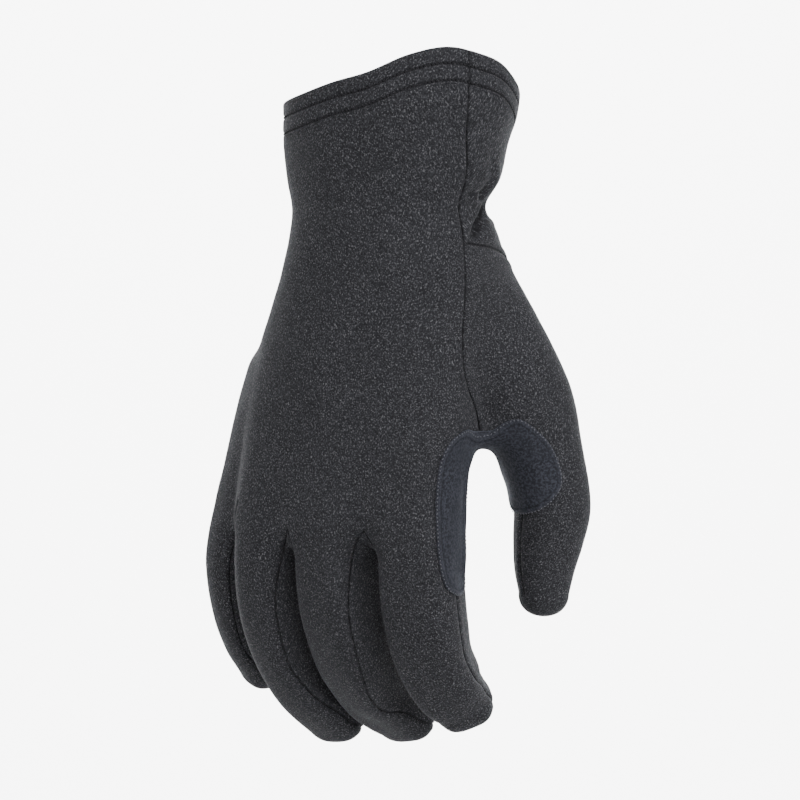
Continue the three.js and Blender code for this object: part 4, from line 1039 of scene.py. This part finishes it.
def suede_material(size):
    """Navy-grey suede: nap in two sizes of grain, with painted shade in the sewn groove and a painted highlight on
    the raised edge.
    """
    material, tree, shader = new_material("suede_navy_grey")
    place = node(tree, "ShaderNodeTexCoord").outputs["Object"]
    seam = node(tree, "ShaderNodeAttribute", attribute_name="seam").outputs["Fac"]
    nap = noise(tree, place, 1300.0, 3.0, 0.6)
    soft = noise(tree, place, 160.0, 2.0, 0.5)
    tone = blend(tree, ramp(tree, nap, 0.38, 0.64), (0.0074, 0.0082, 0.0120, 1), (0.0275, 0.0292, 0.0390, 1))
    tone = blend(tree, ramp(tree, soft, 0.4, 0.7, 0.0, 0.3), tone, (0.0130, 0.0142, 0.0200, 1))
    # Painted highlight: lighter within about a millimetre and a half of the edge, where the raised edge catches
    # light.
    edge = ramp(tree, seam, 1.5, 0.9, 0.0, 0.16)
    tone = blend(tree, edge, tone, (0.042, 0.044, 0.055, 1))
    # Painted shade: darker along the sewn groove, about 1.75 mm in from the edge.
    sewn = maths(tree, "ABSOLUTE", maths(tree, "SUBTRACT", seam, 1.75))
    tone = blend(tree, ramp(tree, sewn, 0.4, 0.1, 0.0, 0.5), tone, (0.005, 0.0055, 0.008, 1))
    tree.links.new(tone, shader.inputs["Base Color"])
    shader.inputs["Roughness"].default_value = 0.86
    shader.inputs["Specular IOR Level"].default_value = 0.25
    shader.inputs["Sheen Weight"].default_value = 0.3
    shader.inputs["Sheen Roughness"].default_value = 0.4
    shader.inputs["Sheen Tint"].default_value = (0.25, 0.27, 0.33, 1)
    bump = node(tree, "ShaderNodeBump", {"Height": nap, "Strength": 0.35, "Distance": size.nap * 0.5})
    tree.links.new(bump.outputs["Normal"], shader.inputs["Normal"])
    return material


def thread_material(name, colour):
    material, _, shader = new_material(name)
    shader.inputs["Base Color"].default_value = colour
    shader.inputs["Roughness"].default_value = 0.7
    shader.inputs["Specular IOR Level"].default_value = 0.3
    return material


# Settings and operators.


class GloveClothSettings(bpy.types.PropertyGroup):
    wall: FloatProperty(name="Wall", description="Thickness of the fleece", default=0.0018, unit="LENGTH")
    seam_width: FloatProperty(name="Seam Width", description="How far the cloth rounds off beside a seam",
                              default=0.0011, unit="LENGTH")
    seam_depth: FloatProperty(name="Seam Depth", description="How deep the cloth sinks into a seam",
                              default=0.00055, unit="LENGTH")
    unevenness: FloatProperty(name="Unevenness", description="Height of the cloth's soft undulation",
                              default=0.00022, unit="LENGTH")
    nap: FloatProperty(name="Nap", description="Height of the brushed surface", default=0.0004, unit="LENGTH")
    fineness: IntProperty(name="Fineness", description="Mesh rows in each step of a finger", default=6,
                          min=2, max=8)


class GlovePatchSettings(bpy.types.PropertyGroup):
    thickness: FloatProperty(name="Thickness", description="Thickness of the suede", default=0.00075,
                             unit="LENGTH")
    gap: FloatProperty(name="Gap", description="Space under the suede", default=0.00035, unit="LENGTH")
    piping: FloatProperty(name="Piping", description="Height of its raised edge", default=0.0002, unit="LENGTH")


class GloveStitchSettings(bpy.types.PropertyGroup):
    pitch: FloatProperty(name="Pitch", description="Distance between stitches", default=0.0012, unit="LENGTH")
    thread: FloatProperty(name="Thread", description="Width of a stitch", default=0.00042, unit="LENGTH")
    slant: FloatProperty(name="Slant", description="Angle of each stitch to its row, in degrees", default=32.0)


class GloveStageSettings(bpy.types.PropertyGroup):
    azimuth: FloatProperty(name="Azimuth", description="Camera turn from the front, in degrees", default=27.0)
    distance: FloatProperty(name="Distance", description="Camera distance", default=1.3, unit="LENGTH")
    target: FloatVectorProperty(name="Target", description="What the camera looks at",
                                default=(0.0, 0.0, -0.1105), subtype="XYZ")
    backdrop: FloatVectorProperty(name="Backdrop", description="Colour of the backdrop",
                                  default=(0.95, 0.95, 0.95), subtype="COLOR")
    floor: FloatVectorProperty(name="Floor", description="Colour of the floor under the glove",
                               default=(0.42, 0.42, 0.42), subtype="COLOR")


def fleece():
    return bpy.data.materials.get("fleece_dark_heather") or fleece_material(bpy.context.scene.glove_cloth)


def columns_over_hand(parts):
    one = finger_columns(parts) / 4
    return np.unique(np.round(np.concatenate([k + one for k in range(4)]), 6))


def main_panel(face):
    size = bpy.context.scene.glove_cloth
    parts = size.fineness
    grids = [panel_rays(face, columns_over_hand(parts))]
    grids += [finer_rows(strip_rays(k, face, finger_columns(parts)), parts - 1) for k in range(4)]
    for k in range(4):
        width = len(finger_columns(parts))
        first = k * (width - 1)
        for i in (0, 1):
            grids[k + 1][i][0] = grids[0][i][-1, first:first + width]
    piece = sewn_sheet(f"{face}_panel", grids, fleece(), size, size.wall / MM, covered=grids[0][0].shape[1])
    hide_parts(f"{face}_panel")


class GLOVE_OT_back_panel(bpy.types.Operator):
    """Build the back of the hand with the backs of the four fingers"""
    bl_idname = "glove.back_panel"
    bl_label = "Back Panel"

    def execute(self, context):
        main_panel("back")
        return {"FINISHED"}


class GLOVE_OT_palm_panel(bpy.types.Operator):
    """Build the palm with the undersides of the four fingers"""
    bl_idname = "glove.palm_panel"
    bl_label = "Palm Panel"

    def execute(self, context):
        main_panel("palm")
        return {"FINISHED"}


class GLOVE_OT_thumb_panel(bpy.types.Operator):
    """Build the thumb, set in between the back and the palm, with its seam on the inner side"""
    bl_idname = "glove.thumb_panel"
    bl_label = "Thumb Panel"

    def execute(self, context):
        size = context.scene.glove_cloth
        last = float(len(STATIONS["thumb"]["width"]) - 1)
        start = float(place_at_height("thumb", THUMB_FREE_Z))
        inner = thumb_ray(0.0, np.linspace(start + 1, last, 40), 0.0)
        piece = sewn_sheet("thumb_panel", [thumb_rays()], fleece(), size, size.wall / MM,
                           lines=[along_ray(inner, cast(inner, 0.0))])
        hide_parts("thumb_panel")
        return {"FINISHED"}


class GLOVE_OT_gussets(bpy.types.Operator):
    """Build the three gussets between the fingers"""
    bl_idname = "glove.gussets"
    bl_label = "Finger Gussets"

    def execute(self, context):
        size = context.scene.glove_cloth
        places = np.unique(np.concatenate([np.linspace(0, 1, 15), [0.02, 0.04, 0.96, 0.98]]))
        for k in range(3):
            name = f"gusset_{FINGERS[k]}_{FINGERS[k + 1]}"
            rays = finer_rows(gusset_rays(k, places), size.fineness - 1)
            piece = sewn_sheet(name, [rays], fleece(), size, size.wall / MM)
            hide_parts(name)
        return {"FINISHED"}


class GLOVE_OT_cuff_hem(bpy.types.Operator):
    """Build the folded hem round the wrist, with its two sunken sewn rows"""
    bl_idname = "glove.cuff_hem"
    bl_label = "Cuff Hem"

    def execute(self, context):
        size = context.scene.glove_cloth
        down = [np.linspace(*steps) for steps in ((0, 1, 45), (0, 0.12, 14), (0.95, 1, 6))]
        down = np.unique(np.concatenate(down))
        angles = np.linspace(0, 360, HEM_STEPS + 1)
        angles[-1] = 0
        around = np.broadcast_to(angles, (len(down), HEM_STEPS + 1))
        depth = HEM_CLOTH * down[:, None]
        rays = hand_ray(around, rim_height(around) - depth)
        outer = cast(rays, 0.0)
        rows = sum(np.exp(-(((depth - at) / HEM_ROW_WIDTH) ** 2)) for at in HEM_ROWS)
        across = HEM_MM_PER_DEGREE * np.min([np.abs((around - angle + 180) % 360 - 180)
                                             for angle in (RADIAL_SEAM[0][1], ULNAR_SEAM_ANGLE)], axis=0)
        side_seam = np.exp(-((across / 0.9) ** 2))
        fold = rolled_edge(depth, HEM_EDGE_WIDTH, HEM_EDGE_DEPTH)
        points = along_ray(rays, outer)
        level = HEM_RAISED - fold - HEM_ROW_DEPTH * rows - 0.4 * side_seam - 0.9 * smooth((depth - 12.2) / 0.8)
        level = level + 0.18 * waves(points.reshape(-1, 3), 16, 8).reshape(outer.shape) * (1 - rows)
        skin = along_ray(rays, cast(rays, level, outer))
        lining = along_ray(rays, cast(rays, -HEM_WALL + fold + 0.3 * rows, outer - HEM_WALL))
        count = len(down) * HEM_STEPS
        ids = np.arange(count).reshape(-1, HEM_STEPS)
        ids = np.concatenate([ids, ids[:, :1]], 1)
        quads = grid_quads(ids)
        top = np.stack([ids[0, :-1], ids[0, :-1] + count, ids[0, 1:] + count, ids[0, 1:]], -1)
        low = np.stack([ids[-1, 1:], ids[-1, 1:] + count, ids[-1, :-1] + count, ids[-1, :-1]], -1)
        both = np.concatenate([skin[:, :-1].reshape(-1, 3), lining[:, :-1].reshape(-1, 3)])
        all_quads = np.concatenate([quads, quads[:, ::-1] + count, top, low])
        tris = np.zeros((0, 3), int)
        if signed_volume(both, all_quads, tris) < 0:
            all_quads = all_quads[:, ::-1]
        run = np.linspace(-0.11, 0.11, HEM_STEPS)
        uv = np.stack(np.broadcast_arrays(run[None], -MM * depth), -1).reshape(-1, 2)
        uv = np.concatenate([uv, uv])
        # Painted shade: the seam attribute is small along the two sewn rows and over the side seams, and the
        # fleece darkens there.
        sewn = np.min([np.abs(depth - at) for at in HEM_ROWS], axis=0)
        seam = np.minimum(FAR_AWAY, np.minimum(across, sewn * 1.1))[:, :-1].ravel()
        seam = np.concatenate([seam, np.full(len(seam), FAR_AWAY)])
        piece = add_mesh("cuff_hem", both, all_quads, tris, fleece(), uv[all_quads.ravel()], seam)
        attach(piece, "root")
        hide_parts("cuff_hem")
        return {"FINISHED"}


class GLOVE_OT_grip_patch(bpy.types.Operator):
    """Build the suede patch between index finger and thumb, with its raised edge"""
    bl_idname = "glove.grip_patch"
    bl_label = "Grip Patch"

    def execute(self, context):
        size, patch = context.scene.glove_cloth, context.scene.glove_patch
        across = np.unique(np.concatenate([np.linspace(0, 1, 57), [0.006, 0.994]]))
        material = bpy.data.materials.get("suede_navy_grey") or suede_material(size)
        piping = patch.piping / MM

        def relief(points, away):
            raised = piping * np.exp(-(((away - 0.8) / 0.6) ** 2))
            return raised - 0.3 * np.exp(-(((away - 1.75) / 0.38) ** 2)) + 0.12 * waves(points, 12, 11)

        rays = patch_rays(across)
        base = (patch.gap + patch.thickness) / MM
        piece = sewn_sheet("grip_patch", [rays], material, size, patch.thickness / MM, base, relief=relief)
        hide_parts("grip_patch")
        return {"FINISHED"}


class GLOVE_OT_stitching(bpy.types.Operator):
    """Sew the stitch rows on the hem and round the grip patch"""
    bl_idname = "glove.stitching"
    bl_label = "Stitching"

    def execute(self, context):
        sewing = context.scene.glove_stitch
        pitch, thread, slant = sewing.pitch / MM, sewing.thread / MM, sewing.slant
        dark = thread_material("thread_dark", (0.006, 0.006, 0.008, 1))
        pale = thread_material("thread_pale", (0.075, 0.078, 0.09, 1))
        angles = np.linspace(0, 360, 721)
        for number, depth in enumerate(HEM_ROWS):
            rays = hand_ray(angles, rim_height(angles) - depth)
            path = along_ray(rays, cast(rays, -0.12))
            row = add_stitches(f"hem_stitches_{number}", path, pitch * 1.12, pitch * 0.72, thread * 1.5, 8, 0.02,
                               dark)
        rays = patch_rays(np.linspace(0.012, 0.988, 57))
        origin, aim = rays
        edge = [(x[:, 0], x[-1], x[::-1, -1], x[0, ::-1]) for x in (origin, aim)]
        loop = tuple(np.concatenate(side) for side in edge)
        path = along_ray(loop, cast(loop, 1.0))
        row = add_stitches("patch_edge_stitches", path, pitch * 1.1, pitch * 0.62, thread, slant, 0.1, pale)
        return {"FINISHED"}


# The soft lights: where each is and what it aims at, as steps from the target to the camera, to its right and
# up in metres, then width, height and power.
LIGHTS = [
    ("top_light", (0.5, 0, 1.25), (0, 0, 0), 1.4, 1.0, 11),
    ("left_light", (0.8, -1.15, 0.45), (0, 0, 0), 0.9, 1.2, 5),
    ("right_light", (0.9, 1.1, 0.25), (0, 0, 0), 0.8, 1.1, 13),
    ("front_light", (1.9, 0.25, 0.75), (0, 0, 0), 1.1, 0.8, 30),
    ("backdrop_light", (-0.7, 0, 0.86), (-1.6, 0, 0.06), 2.4, 0.5, 150),
]


class GLOVE_OT_stage(bpy.types.Operator):
    """Set up the floor and backdrop, the soft lights and the camera"""
    bl_idname = "glove.stage"
    bl_label = "Stage"

    def execute(self, context):
        scene, stage = context.scene, context.scene.glove_stage
        turn = stage.azimuth * DEGREE
        front = Vector((math.sin(turn), -math.cos(turn), 0))
        side = Vector((math.cos(turn), math.sin(turn), 0))
        target = Vector(stage.target)
        floor_z, near_edge, bend, radius, top = -0.42, 2.2, -0.9, 0.8, 3.2
        profile = [(near_edge, 0.0), (bend, 0.0)]
        profile += [(bend - radius * math.sin(a), radius - radius * math.cos(a))
                    for a in np.linspace(0, math.pi / 2, 25)[1:]]
        profile += [(bend - radius, top)]
        points = [front * d + side * w + Vector((0, 0, floor_z + h)) for d, h in profile for w in (-3.0, 3.0)]
        faces = [(2 * i, 2 * i + 1, 2 * i + 3, 2 * i + 2) for i in range(len(profile) - 1)]
        mesh = bpy.data.meshes.new("backdrop")
        mesh.from_pydata([tuple(p) for p in points], [], faces)
        mesh.polygons.foreach_set("use_smooth", np.ones(len(faces), bool))
        backdrop = bpy.data.objects.new("backdrop", mesh)
        scene.collection.objects.link(backdrop)
        material, tree, shader = new_material("backdrop_white")
        place = node(tree, "ShaderNodeTexCoord").outputs["Object"]
        behind = node(tree, "ShaderNodeVectorMath", {0: place, 1: -front}, operation="DOT_PRODUCT")
        amount = ramp(tree, behind.outputs["Value"], 0.2, 0.9)
        pale = blend(tree, amount, (*stage.floor, 1), (*stage.backdrop, 1))
        tree.links.new(pale, shader.inputs["Base Color"])
        shader.inputs["Roughness"].default_value = 0.9
        shader.inputs["Specular IOR Level"].default_value = 0.1
        mesh.materials.append(material)

        for name, steps, aim_steps, width, height, power in LIGHTS:
            place, aim = (target + front * ahead + side * right + Vector((0, 0, up))
                          for ahead, right, up in (steps, aim_steps))
            data = bpy.data.lights.new(name, "AREA")
            data.shape, data.size, data.size_y, data.energy = "RECTANGLE", width, height, power
            light = bpy.data.objects.new(name, data)
            light.location = place
            light.rotation_euler = (aim - place).to_track_quat("-Z", "Y").to_euler()
            scene.collection.objects.link(light)
        world = bpy.data.worlds.new("soft_room")
        world.use_nodes = True
        background = world.node_tree.nodes.get("Background")
        background.inputs["Color"].default_value = (1, 1, 1, 1)
        background.inputs["Strength"].default_value = 0.42
        scene.world = world
        camera_data = bpy.data.cameras.new("photo_camera")
        camera_data.sensor_width = 36
        camera_data.lens = 172.1
        camera_data.clip_end = 20
        camera = bpy.data.objects.new("photo_camera", camera_data)
        camera.location = target + front * stage.distance
        camera.rotation_euler = (-front).to_track_quat("-Z", "Y").to_euler()
        scene.collection.objects.link(camera)
        scene.camera = camera
        return {"FINISHED"}


OPERATORS = (
    GLOVE_OT_back_panel,
    GLOVE_OT_palm_panel,
    GLOVE_OT_thumb_panel,
    GLOVE_OT_gussets,
    GLOVE_OT_cuff_hem,
    GLOVE_OT_grip_patch,
    GLOVE_OT_stitching,
    GLOVE_OT_stage,
)
SETTINGS = (
    ("glove_cloth", GloveClothSettings),
    ("glove_patch", GlovePatchSettings),
    ("glove_stitch", GloveStitchSettings),
    ("glove_stage", GloveStageSettings),
)


class GLOVE_PT_panel(bpy.types.Panel):
    """The glove's pieces in building order, with their settings"""
    bl_idname = "GLOVE_PT_panel"
    bl_label = "Fleece Glove"
    bl_space_type = "VIEW_3D"
    bl_region_type = "UI"
    bl_category = "Glove"

    def draw(self, context):
        for operator in OPERATORS:
            self.layout.operator(operator.bl_idname)
        for name, settings in SETTINGS:
            box = self.layout.box()
            for key in settings.__annotations__:
                box.prop(getattr(context.scene, name), key)


def register():
    for name, settings in SETTINGS:
        bpy.utils.register_class(settings)
        setattr(bpy.types.Scene, name, PointerProperty(type=settings))
    for cls in (*OPERATORS, GLOVE_PT_panel):
        bpy.utils.register_class(cls)


def unregister():
    for cls in (GLOVE_PT_panel, *reversed(OPERATORS)):
        bpy.utils.unregister_class(cls)
    for name, settings in reversed(SETTINGS):
        delattr(bpy.types.Scene, name)
        bpy.utils.unregister_class(settings)


def main():
    register()
    bpy.ops.glove.back_panel()
    bpy.ops.glove.palm_panel()
    bpy.ops.glove.thumb_panel()
    bpy.ops.glove.gussets()
    bpy.ops.glove.cuff_hem()
    bpy.ops.glove.grip_patch()
    bpy.ops.glove.stitching()
    bpy.ops.glove.stage()


if __name__ == "__main__":
    main()
